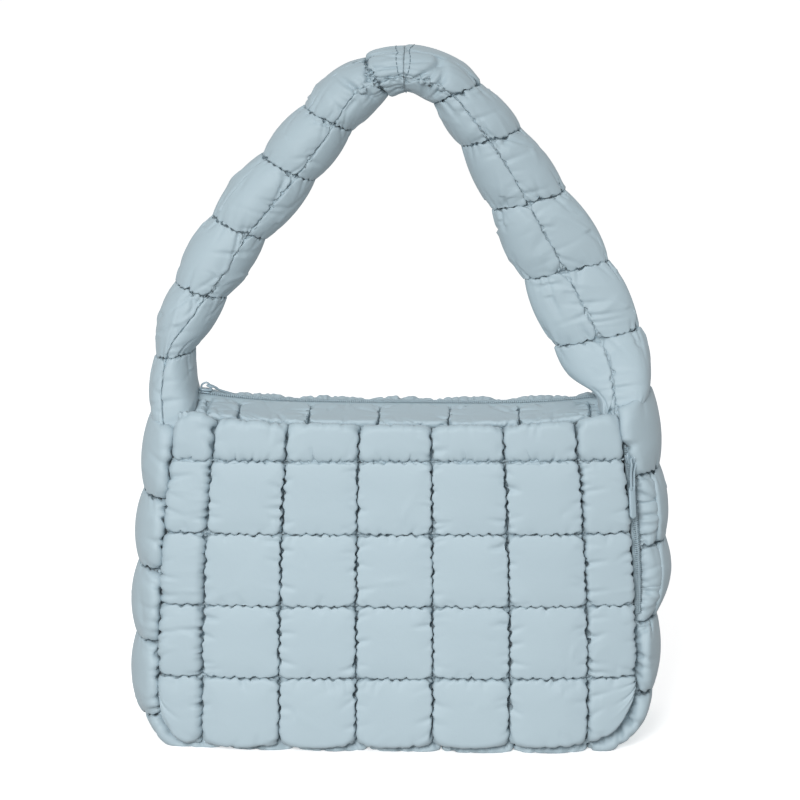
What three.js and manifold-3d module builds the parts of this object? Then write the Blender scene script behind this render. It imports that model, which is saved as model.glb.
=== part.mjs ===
// A quilted shoulder bag of padded nylon, standing on its base with its padded strap raised.
// Millimetres, +Z up, the front faces -Y, and the origin is on the floor under the middle of the bag.
import * as THREE from "three";
import Module from "manifold-3d";
import { mergeVertices } from "three/addons/utils/BufferGeometryUtils.js";

const wasm = await Module();
wasm.setup();
const { lerp, smoothstep, clamp, degToRad } = THREE.MathUtils;

// Front and back panels: half widths at the side seams, and heights of the seams
const PANEL = { halfBase: 178, halfTop: 163, bottom: 7, corner: 40, foldMiddle: 241, foldEnd: 254 };
// Half the depth between the two side seams, and how far the middle of each panel stands out
const DEPTH = { halfBase: 54, halfTop: 38, crown: 8 };
// Quilting of the panels: cell width and height, top of the lowest row, and how far a cell puffs out
const QUILT = { column: 56, columns: 3, row: 53.3, rows: 4, firstRow: 54.5, puff: 13 };
// Band round the sides and base: cell length, round of its corners, puff, bulge of the sides and of the base
const BAND = { cell: 54, corner: 36, puff: 15, sideBulge: 15, baseBulge: 2 };
// Heights of the band's two ends, where the strap is sewn on
const BAND_ENDS = { left: 238.5, right: 253.3 };
// Top panels beside the main zip: half length, plain tab at each end, cell length, place of one stitch line,
// puff, length from which a cell puffs out in full, and dome
const TOP = { half: 149.3, tab: 9, cell: 52.4, stitch: -14.5, puff: 10, fullCell: 36.7, dome: 3 };
// Zips: half width of the main zip's slot, its height and the rise of its ends, tape and coil thickness
const ZIP = { halfSlot: 7, middle: 256.5, rise: 6, tape: 1.2, coil: 1.6 };
// Opening of the side pocket: heights of its ends, how far it reaches back, and how slim its ends are
const POCKET = { low: 99, high: 236, reach: 13, taper: 0.35 };
// Strap: cell length, puff, mean radius of its section, and its boxy ends: reach, half depth and roundness
const STRAP = { cell: 54.5, puff: 4.5, radius: 27.5, endReach: 60, endDeep: 39.7, endRound: 0.4 };
// Thickness of the padded walls at a stitch line, and the gap between sewn pieces
const WALL = 3;
const GAP = 0.3;
// Power of the curves that stay level over their middle and turn near their edges
const LEVEL = 4;
// Corners of a mesh closer than this are one corner
const SAME_CORNER = 0.001;
// Middle of the hollow and half its size, which the inside of every wall is drawn towards
const HOLLOW = { middle: new THREE.Vector3(0, 0, 128), half: new THREE.Vector3(175, 50, 125) };

// Places in one quilted cell, from stitch line to stitch line, where its padding is worked out
const CELL_STEPS = [0, 0.14, 0.5, 0.86];
const BAND_STEPS = [0, 0.14, 0.38, 0.62, 0.86];
const WIDE_STEPS = [0, 0.07, 0.25, 0.5, 0.75, 0.93];
const HALF_TUBE_STEPS = [0, 0.12, 0.35, 0.65, 0.88];

// Centre line of the strap seen from the front, and half the width that shows there, left end to right end
const STRAP_ROWS = [
  { x: -170, z: 246.5, half: 22 },
  { x: -171, z: 270, half: 18.5 },
  { x: -168, z: 296, half: 18 },
  { x: -160, z: 320, half: 20.5 },
  { x: -141, z: 358, half: 23.5 },
  { x: -117, z: 395, half: 25 },
  { x: -92, z: 432, half: 26 },
  { x: -61, z: 467, half: 22.5 },
  { x: -30, z: 498, half: 19 },
  { x: 4, z: 512, half: 17.5 },
  { x: 36, z: 499, half: 20 },
  { x: 62, z: 468, half: 24 },
  { x: 84, z: 434, half: 28.5 },
  { x: 104, z: 400, half: 31 },
  { x: 122, z: 363, half: 33.5 },
  { x: 138, z: 327, half: 34 },
  { x: 154, z: 290, half: 29 },
  { x: 167.5, z: 274, half: 22 },
  { x: 173.5, z: 256, half: 21 },
];
// The strap's two sewn ends: lean of each end face, and turn of the front seam towards the inside of the loop
const STRAP_ENDS = { leftLean: degToRad(17), rightLean: degToRad(-7), leftTurn: degToRad(20), rightTurn: 0 };
const CROWN_ROW = 9;

// Colour, roughness and metalness of each kind of piece
const FINISH = {
  shell: { color: 0xb9ccd6, roughness: 0.6, metalness: 0 },
  tape: { color: 0xa3b9c5, roughness: 0.75, metalness: 0 },
  slider: { color: 0x9fb6c4, roughness: 0.35, metalness: 0.2 },
  pull: { color: 0xa9c0cc, roughness: 0.5, metalness: 0 },
};

// A mesh with its own material
function piece(name, geometry, finish) {
  const mesh = new THREE.Mesh(geometry, new THREE.MeshStandardMaterial(finish));
  mesh.name = name;
  return mesh;
}

// Positions and triangles alone, with shared corners merged
function bare(geometry) {
  geometry.deleteAttribute("normal");
  geometry.deleteAttribute("uv");
  return mergeVertices(geometry, SAME_CORNER);
}

// Outline of a panel
function halfWidth(z) {
  const low = PANEL.bottom + PANEL.corner;
  const up = Math.max(0, (z - low) / (PANEL.foldEnd - low));
  return lerp(PANEL.halfBase, PANEL.halfTop, up ** 2);
}

function bottomEdge(across) {
  const past = clamp(Math.abs(across) * PANEL.halfBase - PANEL.halfBase + PANEL.corner, 0, PANEL.corner);
  return PANEL.bottom + PANEL.corner - Math.sqrt(PANEL.corner ** 2 - past ** 2);
}

function foldEdge(across) {
  return lerp(PANEL.foldMiddle, PANEL.foldEnd, across ** LEVEL);
}

// Depth of a panel before its padding, at a share of the half width and a height
function panelDepth(across, z) {
  const seam = lerp(DEPTH.halfBase, DEPTH.halfTop, z / PANEL.foldEnd);
  return seam + DEPTH.crown * (1 - across ** LEVEL);
}

function zipHeight(x) {
  return ZIP.middle + ZIP.rise * (x / TOP.half) ** LEVEL;
}

// How far the band's front edge stands back to make room for the side pocket's zip
function pocketReach(z) {
  const along = clamp((z - POCKET.low) / (POCKET.high - POCKET.low), 0, 1);
  return POCKET.reach * Math.max(0, Math.sin(Math.PI * along)) ** POCKET.taper;
}

// Quilted padding: none on the stitch lines and nearly level across a cell
function puffAcross(share) {
  return Math.sqrt(1 - (2 * share - 1) ** LEVEL);
}

// Stations from line to line, where a cell narrower than the full one puffs out less
function quiltStations(lines, steps, full = 0) {
  const stations = [];
  for (let cell = 0; cell + 1 < lines.length; cell++) {
    const fill = full > 0 ? Math.min(1, (lines[cell + 1] - lines[cell]) / full) : 1;
    for (const share of steps) {
      stations.push({ at: lerp(lines[cell], lines[cell + 1], share), puff: fill * puffAcross(share) });
    }
  }
  stations.push({ at: lines.at(-1), puff: 0 });
  return stations;
}

// The surface's outward direction, from how it runs along its two measures
function outward(surface, u, v) {
  const step = 0.01;
  const alongU = surface(u + step, v).sub(surface(u - step, v));
  const alongV = surface(u, v + step).sub(surface(u, v - step));
  return alongU.cross(alongV).normalize();
}

// The matching point of the inside of the wall
function insideOf(point) {
  const shrink = new THREE.Vector3(WALL, WALL, WALL).divide(HOLLOW.half);
  return point.clone().sub(point.clone().sub(HOLLOW.middle).multiply(shrink));
}

// A slab of columns and rows whose outer and inner faces are placed point by point
function warpedSlab(columns, rows, place) {
  const slab = bare(new THREE.BoxGeometry(1, 1, 1, columns.length - 1, rows.length - 1, 1));
  const points = slab.attributes.position;
  for (let i = 0; i < points.count; i++) {
    const column = columns[Math.round((points.getX(i) + 0.5) * (columns.length - 1))];
    const row = rows[Math.round((points.getY(i) + 0.5) * (rows.length - 1))];
    const point = place(column, row, points.getZ(i) > 0);
    points.setXYZ(i, point.x, point.y, point.z);
  }
  return slab;
}

// A padded wall over a surface: puffed outside, plain inside, and flat where it rests on the floor
function paddedWall(columns, rows, surface, puff) {
  return warpedSlab(columns, rows, (column, row, outer) => {
    const base = surface(column.at, row.at);
    if (!outer) return insideOf(base);
    base.addScaledVector(outward(surface, column.at, row.at), puff * column.puff * row.puff);
    base.z = Math.max(0, base.z);
    return base;
  });
}

// Front panel: seven columns by five rows of quilting
function panelSurface(across, row) {
  const heights = [bottomEdge(across)];
  for (let line = 0; line < QUILT.rows; line++) heights.push(QUILT.firstRow + line * QUILT.row);
  heights.push(foldEdge(across));
  const cell = clamp(Math.floor(row), 0, QUILT.rows);
  const z = lerp(heights[cell], heights[cell + 1], row - cell);
  return new THREE.Vector3(across * halfWidth(z), -panelDepth(across, z), z);
}

function panelGeometry() {
  const edge = 1 - GAP / 2 / PANEL.halfBase;
  const columnLines = [-edge];
  for (let line = 0.5 - QUILT.columns; line < QUILT.columns; line++) {
    columnLines.push((line * QUILT.column) / PANEL.halfBase);
  }
  columnLines.push(edge);
  const rowEdge = GAP / 2 / QUILT.row;
  const rowLines = [rowEdge];
  for (let line = 1; line <= QUILT.rows; line++) rowLines.push(line);
  rowLines.push(QUILT.rows + 1 - rowEdge);
  const columns = quiltStations(columnLines, CELL_STEPS);
  return paddedWall(columns, quiltStations(rowLines, CELL_STEPS), panelSurface, QUILT.puff);
}

// The matching piece of the bag's other face, its triangles turned over to face out again
function mirrored(geometry) {
  const copy = geometry.clone().scale(1, -1, 1);
  copy.index.array.reverse();
  return copy;
}

// Seam line of the band, from its left end down, along the base and up to its right end
function bandSeam() {
  const low = PANEL.bottom + BAND.corner;
  const straight = PANEL.halfBase - BAND.corner;
  const seam = new THREE.Path();
  const { left, right } = BAND_ENDS;
  seam.moveTo(-halfWidth(left), left);
  seam.quadraticCurveTo(-PANEL.halfBase, (left + low) / 2, -PANEL.halfBase, low);
  seam.absarc(-straight, low, BAND.corner, Math.PI, 1.5 * Math.PI, false);
  seam.lineTo(straight, PANEL.bottom);
  seam.absarc(straight, low, BAND.corner, 1.5 * Math.PI, 2 * Math.PI, false);
  seam.quadraticCurveTo(PANEL.halfBase, (right + low) / 2, halfWidth(right), right);
  return seam;
}

// Band: cells one after another along the seam, each as wide as the bag is deep
function bandGeometry() {
  const seam = bandSeam();
  const length = seam.getLength();
  const surface = (along, forward) => {
    const share = clamp(along / length, 0, 1);
    const point = seam.getPointAt(share);
    const tangent = seam.getTangentAt(share);
    const depth = panelDepth(clamp(point.x / halfWidth(point.y), -1, 1), point.y);
    const frontDepth = point.x > 0 ? depth - pocketReach(point.y) : depth;
    const y = -forward * (forward > 0 ? frontDepth : depth);
    const bulge = lerp(BAND.sideBulge, BAND.baseBulge, Math.abs(tangent.x)) * (1 - (y / depth) ** 2);
    return new THREE.Vector3(point.x + tangent.y * bulge, y, point.y - tangent.x * bulge);
  };
  const cells = Math.round(length / BAND.cell);
  const lines = [GAP / 2];
  for (let line = 1; line < cells; line++) lines.push((line * length) / cells);
  lines.push(length - GAP / 2);
  const edge = 1 - GAP / 2 / DEPTH.halfBase;
  const backToFront = quiltStations([-edge, edge], WIDE_STEPS);
  return paddedWall(quiltStations(lines, BAND_STEPS), backToFront, surface, BAND.puff);
}

// Top panel in front of the main zip
function topSurface(x, back) {
  const across = clamp(x / halfWidth(PANEL.foldEnd), -1, 1);
  const fold = new THREE.Vector3(x, -panelDepth(across, foldEdge(across)), foldEdge(across));
  const point = fold.lerp(new THREE.Vector3(x, -ZIP.halfSlot, zipHeight(x)), back);
  point.z += TOP.dome * 4 * back * (1 - back);
  return point;
}

function topGeometry() {
  const lines = [-TOP.half, TOP.tab - TOP.half];
  const first = TOP.stitch - Math.floor((TOP.stitch + TOP.half) / TOP.cell) * TOP.cell;
  for (let x = first; x < TOP.half - 2 * TOP.tab; x += TOP.cell) lines.push(x);
  lines.push(TOP.half - TOP.tab, TOP.half);
  const foldToZip = quiltStations([GAP / 2 / DEPTH.halfTop, 1], CELL_STEPS);
  return paddedWall(quiltStations(lines, CELL_STEPS, TOP.fullCell), foldToZip, topSurface, TOP.puff);
}

// Zip tapes: shares of the width where the coil rises, and its height there
const TAPE_STATIONS = [
  { at: 0.01, rise: 0 },
  { at: 0.36, rise: 0 },
  { at: 0.42, rise: 1 },
  { at: 0.58, rise: 1 },
  { at: 0.64, rise: 0 },
  { at: 0.99, rise: 0 },
];

// A zip between two edges, given at each place along it, with its coil outside and plain tape inside
function zipGeometry(places, edges, fullWidth, edgeGap) {
  return warpedSlab(places, TAPE_STATIONS, (place, station, outer) => {
    const { from, to, along } = edges(place);
    const width = to.clone().sub(from);
    const normal = along.clone().cross(width).normalize();
    const share = lerp(GAP / width.length(), 1 - edgeGap / width.length(), station.at);
    const rise = ZIP.coil * station.rise * Math.min(1, width.length() / fullWidth);
    return from.clone().addScaledVector(width, share).addScaledVector(normal, outer ? rise : -ZIP.tape);
  });
}

function evenly(from, to, steps) {
  return Array.from({ length: steps + 1 }, (_, step) => lerp(from, to, step / steps));
}

// Main zip along the top: how far its ends stop short, steps along it, and its slider's distance from one end
const MAIN_ZIP = { margin: 1, steps: 12, slider: 9 };
function mainZipEdges(x) {
  return {
    from: new THREE.Vector3(x, -ZIP.halfSlot, zipHeight(x)),
    to: new THREE.Vector3(x, ZIP.halfSlot, zipHeight(x)),
    along: new THREE.Vector3(1, 0, 0),
  };
}

// Side pocket's zip, between the front panel's right edge and the band, with a wider gap to the puffed band
const POCKET_ZIP = { margin: 8, steps: 14, slider: 18, bandGap: 1.6 };
function pocketZipEdges(z) {
  const depth = panelDepth(1, z);
  const y = -(depth - pocketReach(z));
  const bulge = BAND.sideBulge * (1 - (y / depth) ** 2);
  return {
    from: new THREE.Vector3(halfWidth(z), -depth, z),
    to: new THREE.Vector3(halfWidth(z) + bulge, y, z),
    along: new THREE.Vector3(0, 0, -1),
  };
}

// Joining of closed meshes into one solid
function solidOf(geometry) {
  const merged = bare(geometry);
  const vertProperties = new Float32Array(merged.attributes.position.array);
  const triVerts = new Uint32Array(merged.index.array);
  return new wasm.Manifold(new wasm.Mesh({ numProp: 3, vertProperties, triVerts }));
}

function joined(...geometries) {
  const mesh = geometries.map(solidOf).reduce((all, next) => all.add(next)).getMesh();
  const geometry = new THREE.BufferGeometry();
  geometry.setAttribute("position", new THREE.BufferAttribute(new Float32Array(mesh.vertProperties), 3));
  geometry.setIndex(new THREE.BufferAttribute(new Uint32Array(mesh.triVerts), 1));
  return geometry;
}

// A round rod along a smooth curve
function rod(points, diameter, steps) {
  const path = new THREE.CatmullRomCurve3(points.map((point) => new THREE.Vector3(...point)));
  const section = new THREE.Shape().absarc(0, 0, diameter / 2, 0, 2 * Math.PI);
  return new THREE.ExtrudeGeometry(section, { extrudePath: path, steps, curveSegments: 4 });
}

// A flat plate with round ends
function roundPlate(length, width, thickness) {
  const radius = width / 2;
  const outline = new THREE.Shape();
  outline.absarc(length / 2 - radius, 0, radius, -Math.PI / 2, Math.PI / 2, false);
  outline.absarc(radius - length / 2, 0, radius, Math.PI / 2, 1.5 * Math.PI, false);
  return new THREE.ExtrudeGeometry(outline, { depth: thickness, bevelEnabled: false, curveSegments: 5 });
}

// Slider and pull, lying along +X of their own frame with the tape's face at zero height
const SLIDER = { length: 11, width: 7.6, plate: 1.8, clear: 0.4, lip: 1.5, lipLength: 6 };
const PULL = { cord: 1.8, tabStart: 21, tab: 24, tabWidth: 5.6, tabThick: 3, rest: 2.4 };
// Steps along the bail's wire and along the cord
const ROD_STEPS = { bail: 8, cord: 18 };
// Bail of bent wire: places along the slider, and heights above its plate
const BAIL_WIRE = 1.5;
const BAIL_ROWS = [
  { along: -3.5, up: -0.8 },
  { along: -3.2, up: 2.4 },
  { along: 0, up: 4.4 },
  { along: 3.2, up: 2.4 },
  { along: 3.5, up: -0.8 },
];
// One strand of the cord, from inside the tab to the bail: places along, to the side, and above the tape
const STRAND_ROWS = [
  { along: 24, side: 1.5, up: 3.9 },
  { along: 11, side: 1.5, up: 4.6 },
  { along: 5.5, side: 1.9, up: 6.3 },
  { along: 1.4, side: 2, up: 5.8 },
];
const CORD_TURN = [0, 0, 5.8];

function sliderGeometry() {
  const under = ZIP.coil + SLIDER.clear;
  const top = under + SLIDER.plate;
  const plate = roundPlate(SLIDER.length, SLIDER.width, SLIDER.plate).translate(0, 0, under);
  const lipHeight = under + SLIDER.plate / 2 - SLIDER.clear;
  const lips = [-1, 1].map((side) =>
    new THREE.BoxGeometry(SLIDER.lipLength, SLIDER.lip, lipHeight)
      .translate(0, side * (SLIDER.width / 2 - SLIDER.lip / 2), SLIDER.clear + lipHeight / 2));
  const bail = rod(BAIL_ROWS.map((row) => [row.along, 0, top + row.up]), BAIL_WIRE, ROD_STEPS.bail);
  return joined(plate, ...lips, bail);
}

function pullGeometry() {
  const strand = (side) => STRAND_ROWS.map((row) => [row.along, side * row.side, row.up]);
  const cord = rod([...strand(-1), CORD_TURN, ...strand(1).reverse()], PULL.cord, ROD_STEPS.cord);
  const tab = roundPlate(PULL.tab, PULL.tabWidth, PULL.tabThick)
    .translate(PULL.tabStart + PULL.tab / 2, 0, PULL.rest);
  return joined(cord, tab);
}

function middleOf(edges) {
  return edges.from.clone().lerp(edges.to, 0.5);
}

// Slider and pull set on a zip, between its edges at one place and running towards those at another
function pullSet(name, edges, edgesAhead) {
  const set = new THREE.Group();
  set.add(piece(`${name}_slider`, sliderGeometry(), FINISH.slider));
  set.add(piece(`${name}_pull`, pullGeometry(), FINISH.pull));
  const at = middleOf(edges);
  const along = middleOf(edgesAhead).sub(at).normalize();
  const facing = edges.along.clone().cross(edges.to.clone().sub(edges.from));
  const across = facing.cross(along).normalize();
  set.applyMatrix4(new THREE.Matrix4().makeBasis(along, across, along.clone().cross(across)));
  set.position.copy(at);
  return set;
}

// Strap: two padded tubes that meet at the seam on the crown
const strapLine = new THREE.CatmullRomCurve3(STRAP_ROWS.map((row) => new THREE.Vector3(row.x, 0, row.z)));
strapLine.arcLengthDivisions = 800;
const strapWidths = new THREE.CatmullRomCurve3(STRAP_ROWS.map((row) => new THREE.Vector3(row.half, 0, 0)));

// Length along the strap to its crown seam
function crownLength() {
  const lengths = strapLine.getLengths();
  return lengths[Math.round((CROWN_ROW / (STRAP_ROWS.length - 1)) * (lengths.length - 1))];
}

// One ring of the strap, a point for each station round it
function strapPoint(along, puffAlong, station) {
  const length = strapLine.getLength();
  const share = along / length;
  const centre = strapLine.getPointAt(share);
  const tangent = strapLine.getTangentAt(share);
  const half = strapWidths.getPoint(strapLine.getUtoTmapping(share)).x;
  const fromLeft = share < 0.5;
  const fromEnd = Math.min(along, length - along);
  const free = smoothstep(fromEnd, 0, STRAP.endReach);
  const lean = fromLeft ? STRAP_ENDS.leftLean : STRAP_ENDS.rightLean;
  const side = fromLeft ? -1 : 1;
  const sewn = new THREE.Vector3(side * Math.cos(lean), 0, -Math.sin(lean));
  const out = sewn.lerp(new THREE.Vector3(-tangent.z, 0, tangent.x), free).normalize();
  const deep = lerp(STRAP.endDeep, Math.sqrt(2 * STRAP.radius ** 2 - half ** 2), free);
  const turn = lerp(STRAP_ENDS.leftTurn, STRAP_ENDS.rightTurn, share);
  const angle = Math.PI * station.at - turn;
  const round = lerp(STRAP.endRound, 1, free);
  const shaped = (value) => Math.sign(value) * Math.abs(value) ** round;
  const size = STRAP.puff * (1 - puffAlong * station.puff);
  return centre
    .addScaledVector(out, (half - size) * shaped(Math.sin(angle)))
    .addScaledVector(new THREE.Vector3(0, -1, 0), (deep - size) * shaped(Math.cos(angle)));
}

function strapGeometry(lines) {
  const rings = quiltStations(lines, CELL_STEPS);
  const round = quiltStations([0, 1, 2], HALF_TUBE_STEPS).slice(0, -1);
  const outerMiddle = { at: 0.5, puff: 0 };
  const innerMiddle = { at: 1.5, puff: 0 };
  const tube = bare(new THREE.CylinderGeometry(1, 1, 1, round.length, rings.length - 1));
  const points = tube.attributes.position;
  for (let i = 0; i < points.count; i++) {
    const ring = rings[Math.round((0.5 - points.getY(i)) * (rings.length - 1))];
    const turns = Math.atan2(points.getX(i), points.getZ(i)) / (2 * Math.PI);
    const endMiddle = Math.round(Math.hypot(points.getX(i), points.getZ(i))) === 0;
    const station = endMiddle ? outerMiddle : round[Math.round((turns + 1) * round.length) % round.length];
    const point = strapPoint(ring.at, ring.puff, station);
    if (endMiddle) point.lerp(strapPoint(ring.at, ring.puff, innerMiddle), 0.5);
    points.setXYZ(i, point.x, point.y, point.z);
  }
  return tube;
}

function strapLines() {
  const crown = crownLength();
  const length = strapLine.getLength();
  const left = [GAP];
  for (let at = STRAP.cell; at < crown - GAP / 2; at += STRAP.cell) left.push(at);
  left.push(crown - GAP / 2);
  const right = [length - GAP];
  for (let at = length - STRAP.cell; at > crown + STRAP.cell / 3; at -= STRAP.cell) right.push(at);
  right.push(crown + GAP / 2);
  return { left, right: right.reverse() };
}

// The whole bag
const bag = new THREE.Group();
bag.name = "puffer_bag";

const panel = panelGeometry();
bag.add(piece("front_panel", panel, FINISH.shell));
bag.add(piece("back_panel", mirrored(panel), FINISH.shell));
bag.add(piece("gusset", bandGeometry(), FINISH.shell));
const topPanel = topGeometry();
bag.add(piece("top_panel_front", topPanel, FINISH.shell));
bag.add(piece("top_panel_back", mirrored(topPanel), FINISH.shell));

const mainPlaces = evenly(MAIN_ZIP.margin - TOP.half, TOP.half - MAIN_ZIP.margin, MAIN_ZIP.steps);
bag.add(piece("main_zip", zipGeometry(mainPlaces, mainZipEdges, 2 * ZIP.halfSlot, GAP), FINISH.tape));
const pocketEnds = [POCKET.high - POCKET_ZIP.margin, POCKET.low + POCKET_ZIP.margin];
const pocketPlaces = evenly(...pocketEnds, POCKET_ZIP.steps);
const pocketZip = zipGeometry(pocketPlaces, pocketZipEdges, POCKET.reach, POCKET_ZIP.bandGap);
bag.add(piece("pocket_zip", pocketZip, FINISH.tape));

const pullReach = PULL.tabStart + PULL.tab;
const mainSlider = MAIN_ZIP.slider - TOP.half;
bag.add(pullSet("main_zip", mainZipEdges(mainSlider), mainZipEdges(mainSlider + pullReach)));
const pocketSlider = POCKET.high - POCKET_ZIP.slider;
bag.add(pullSet("pocket_zip", pocketZipEdges(pocketSlider), pocketZipEdges(pocketSlider - pullReach)));

const { left, right } = strapLines();
bag.add(piece("strap_left", strapGeometry(left), FINISH.shell));
bag.add(piece("strap_right", strapGeometry(right), FINISH.shell));

export default bag;
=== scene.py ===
"""Looks of a quilted, padded shoulder bag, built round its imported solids.

Sizes are in millimetres and become metres when a mesh is made. The bag stands on the floor at zero height,
its front faces -Y, and +X is its right as seen from the front.
"""

import logging
import math
from dataclasses import dataclass, field
from enum import Enum
from typing import Iterable

import bpy
import numpy as np
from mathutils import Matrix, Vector

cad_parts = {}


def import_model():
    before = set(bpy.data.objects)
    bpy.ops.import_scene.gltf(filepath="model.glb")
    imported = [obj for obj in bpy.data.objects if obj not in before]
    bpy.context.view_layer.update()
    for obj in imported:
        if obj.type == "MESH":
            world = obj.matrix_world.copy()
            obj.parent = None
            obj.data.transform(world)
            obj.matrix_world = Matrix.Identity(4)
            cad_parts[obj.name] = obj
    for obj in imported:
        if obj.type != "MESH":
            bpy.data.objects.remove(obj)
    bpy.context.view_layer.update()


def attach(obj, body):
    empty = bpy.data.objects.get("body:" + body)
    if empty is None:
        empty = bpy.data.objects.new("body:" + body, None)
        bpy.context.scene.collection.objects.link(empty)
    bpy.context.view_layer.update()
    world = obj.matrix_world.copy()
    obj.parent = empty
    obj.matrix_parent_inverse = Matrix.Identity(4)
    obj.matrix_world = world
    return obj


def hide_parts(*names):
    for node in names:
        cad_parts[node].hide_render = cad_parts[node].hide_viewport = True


LOG = logging.getLogger("puffer_bag")
Array = np.ndarray
MM = 0.001
BODY = "root"
FRONT_TO_BACK = ((1, 0, 0, 0), (0, -1, 0, 0), (0, 0, 1, 0), (0, 0, 0, 1))


class Slot(Enum):
    """Material slots of the record."""

    SHELL = "shell"
    ZIP_TAPE = "zip_tape"
    SLIDER = "slider"
    PULL = "pull"


class Face(Enum):
    """The two faces of the bag, as the sign of their Y direction."""

    FRONT = -1
    BACK = 1


# Colours and nodes


def linear(hex_colour: str) -> tuple[float, float, float, float]:
    """Turn an sRGB colour into the linear one that shaders take.

    Args:
        hex_colour: six hex digits after a hash sign.

    Returns:
        Red, green, blue and an alpha of one.
    """
    parts = [int(hex_colour[i:i + 2], 16) / 255 for i in (1, 3, 5)]
    straight = [p / 12.92 if p <= 0.04045 else ((p + 0.055) / 1.055) ** 2.4 for p in parts]
    return (*straight, 1.0)


def add_node(
    tree: bpy.types.NodeTree,
    kind: str,
    links: dict[str, bpy.types.NodeSocket] | None = None,
    inputs: dict[str, object] | None = None,
    **settings: object,
) -> bpy.types.Node:
    """Add one node to a tree.

    Args:
        tree: the material's or world's node tree.
        kind: the node's type name.
        links: sockets to link into the node's inputs, by input name.
        inputs: plain values for the node's inputs, by input name.
        settings: the node's own properties.

    Returns:
        The new node.
    """
    node = tree.nodes.new(kind)
    for name, value in settings.items():
        setattr(node, name, value)
    for name, value in (inputs or {}).items():
        node.inputs[name].default_value = value
    for name, socket in (links or {}).items():
        tree.links.new(socket, node.inputs[name])
    return node


def new_tree(name: str) -> tuple[bpy.types.Material, bpy.types.NodeTree]:
    """Make an empty node material.

    Args:
        name: the material's name.

    Returns:
        The material and its node tree.
    """
    material = bpy.data.materials.new(name)
    material.use_nodes = True
    material.node_tree.nodes.clear()
    return material, material.node_tree


# Finishes


@dataclass(frozen=True)
class NylonTaffeta:
    """Dyed nylon taffeta, plain woven and heat set: soft matt, faintly silky where it turns away.

    The thread is about 0.25 mm wide, too fine to show, so the weave is drawn at weave_mm. The crinkles are
    those of the gathers, and the patches a slight unevenness of the dye. Each relief is the height of its
    pattern.
    """

    name: str = "dyed_nylon_taffeta_woven"
    colour: str = "#A4B6BE"
    shade: str = "#A0B2BB"
    weave_mm: float = 0.9
    weave_relief_mm: float = 0.1
    crinkle_mm: float = 5.0
    crinkle_relief_mm: float = 0.6
    patch_mm: float = 60.0
    roughness: float = 0.62
    ior: float = 1.53
    sheen: float = 0.12
    sheen_roughness: float = 0.4

    def material(self) -> bpy.types.Material:
        """Build the cloth: a faint mottle in its colour, fine weave and soft crinkles in its surface.

        Returns:
            The material.
        """
        material, tree = new_tree(self.name)
        place = add_node(tree, "ShaderNodeTexCoord").outputs["Object"]
        patterns = ((self.patch_mm, 3.0), (self.crinkle_mm, 2.0), (self.weave_mm, 1.0))
        mottle, crinkle, weave = [
            add_node(
                tree,
                "ShaderNodeTexNoise",
                {"Vector": place},
                {"Scale": 1 / (size * MM), "Detail": detail},
            ).outputs["Fac"]
            for size, detail in patterns
        ]
        colour = add_node(
            tree,
            "ShaderNodeMix",
            {"Factor": mottle},
            {"A": linear(self.shade), "B": linear(self.colour)},
            data_type="RGBA",
        )
        soft = add_node(
            tree,
            "ShaderNodeBump",
            {"Height": crinkle},
            {"Strength": 0.25, "Distance": self.crinkle_relief_mm * MM},
        )
        fine = add_node(
            tree,
            "ShaderNodeBump",
            {"Height": weave, "Normal": soft.outputs["Normal"]},
            {"Strength": 0.2, "Distance": self.weave_relief_mm * MM},
        )
        shader = add_node(
            tree,
            "ShaderNodeBsdfPrincipled",
            {"Base Color": colour.outputs["Result"], "Normal": fine.outputs["Normal"]},
            {
                "Roughness": self.roughness,
                "IOR": self.ior,
                "Sheen Weight": self.sheen,
                "Sheen Roughness": self.sheen_roughness,
            },
        )
        add_node(tree, "ShaderNodeOutputMaterial", {"Surface": shader.outputs["BSDF"]})
        return material


@dataclass(frozen=True)
class PlainFinish:
    """A finish of one even material with a fine relief, the base of the small parts' finishes.

    name: what the material is and how it was made.
    colour: its colour in the light.
    grain_mm: size of the relief's grain.
    relief_mm: height of the relief.
    gloss_spread: how far the roughness strays to both sides.
    stretch: how much finer the grain is drawn along each axis.
    """

    name: str
    colour: str
    grain_mm: float
    relief_mm: float
    roughness: float
    ior: float = 1.5
    metallic: float = 0.0
    coat: float = 0.0
    gloss_spread: float = 0.06
    stretch: tuple[float, float, float] = (1.0, 1.0, 1.0)

    def material(self) -> bpy.types.Material:
        """Build the finish: even colour, slightly uneven gloss and a fine relief.

        Returns:
            The material.
        """
        material, tree = new_tree(self.name)
        place = add_node(tree, "ShaderNodeTexCoord").outputs["Object"]
        drawn = add_node(tree, "ShaderNodeMapping", {"Vector": place}, {"Scale": self.stretch})
        grain = add_node(
            tree,
            "ShaderNodeTexNoise",
            {"Vector": drawn.outputs["Vector"]},
            {"Scale": 1 / (self.grain_mm * MM), "Detail": 2.0},
        )
        gloss = add_node(
            tree,
            "ShaderNodeMapRange",
            {"Value": grain.outputs["Fac"]},
            {"To Min": self.roughness - self.gloss_spread, "To Max": self.roughness + self.gloss_spread},
        )
        relief = add_node(
            tree,
            "ShaderNodeBump",
            {"Height": grain.outputs["Fac"]},
            {"Strength": 0.5, "Distance": self.relief_mm * MM},
        )
        shader = add_node(
            tree,
            "ShaderNodeBsdfPrincipled",
            {"Roughness": gloss.outputs["Result"], "Normal": relief.outputs["Normal"]},
            {
                "Base Color": linear(self.colour),
                "IOR": self.ior,
                "Metallic": self.metallic,
                "Coat Weight": self.coat,
            },
        )
        add_node(tree, "ShaderNodeOutputMaterial", {"Surface": shader.outputs["BSDF"]})
        return material


# Woven polyester: dull and ribbed. Its 0.3 mm yarns are drawn a little coarser, so that they show.
ZIP_TAPE = PlainFinish("polyester_zip_tape_woven", "#9DAFB7", 0.5, 0.12, 0.75)
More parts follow.
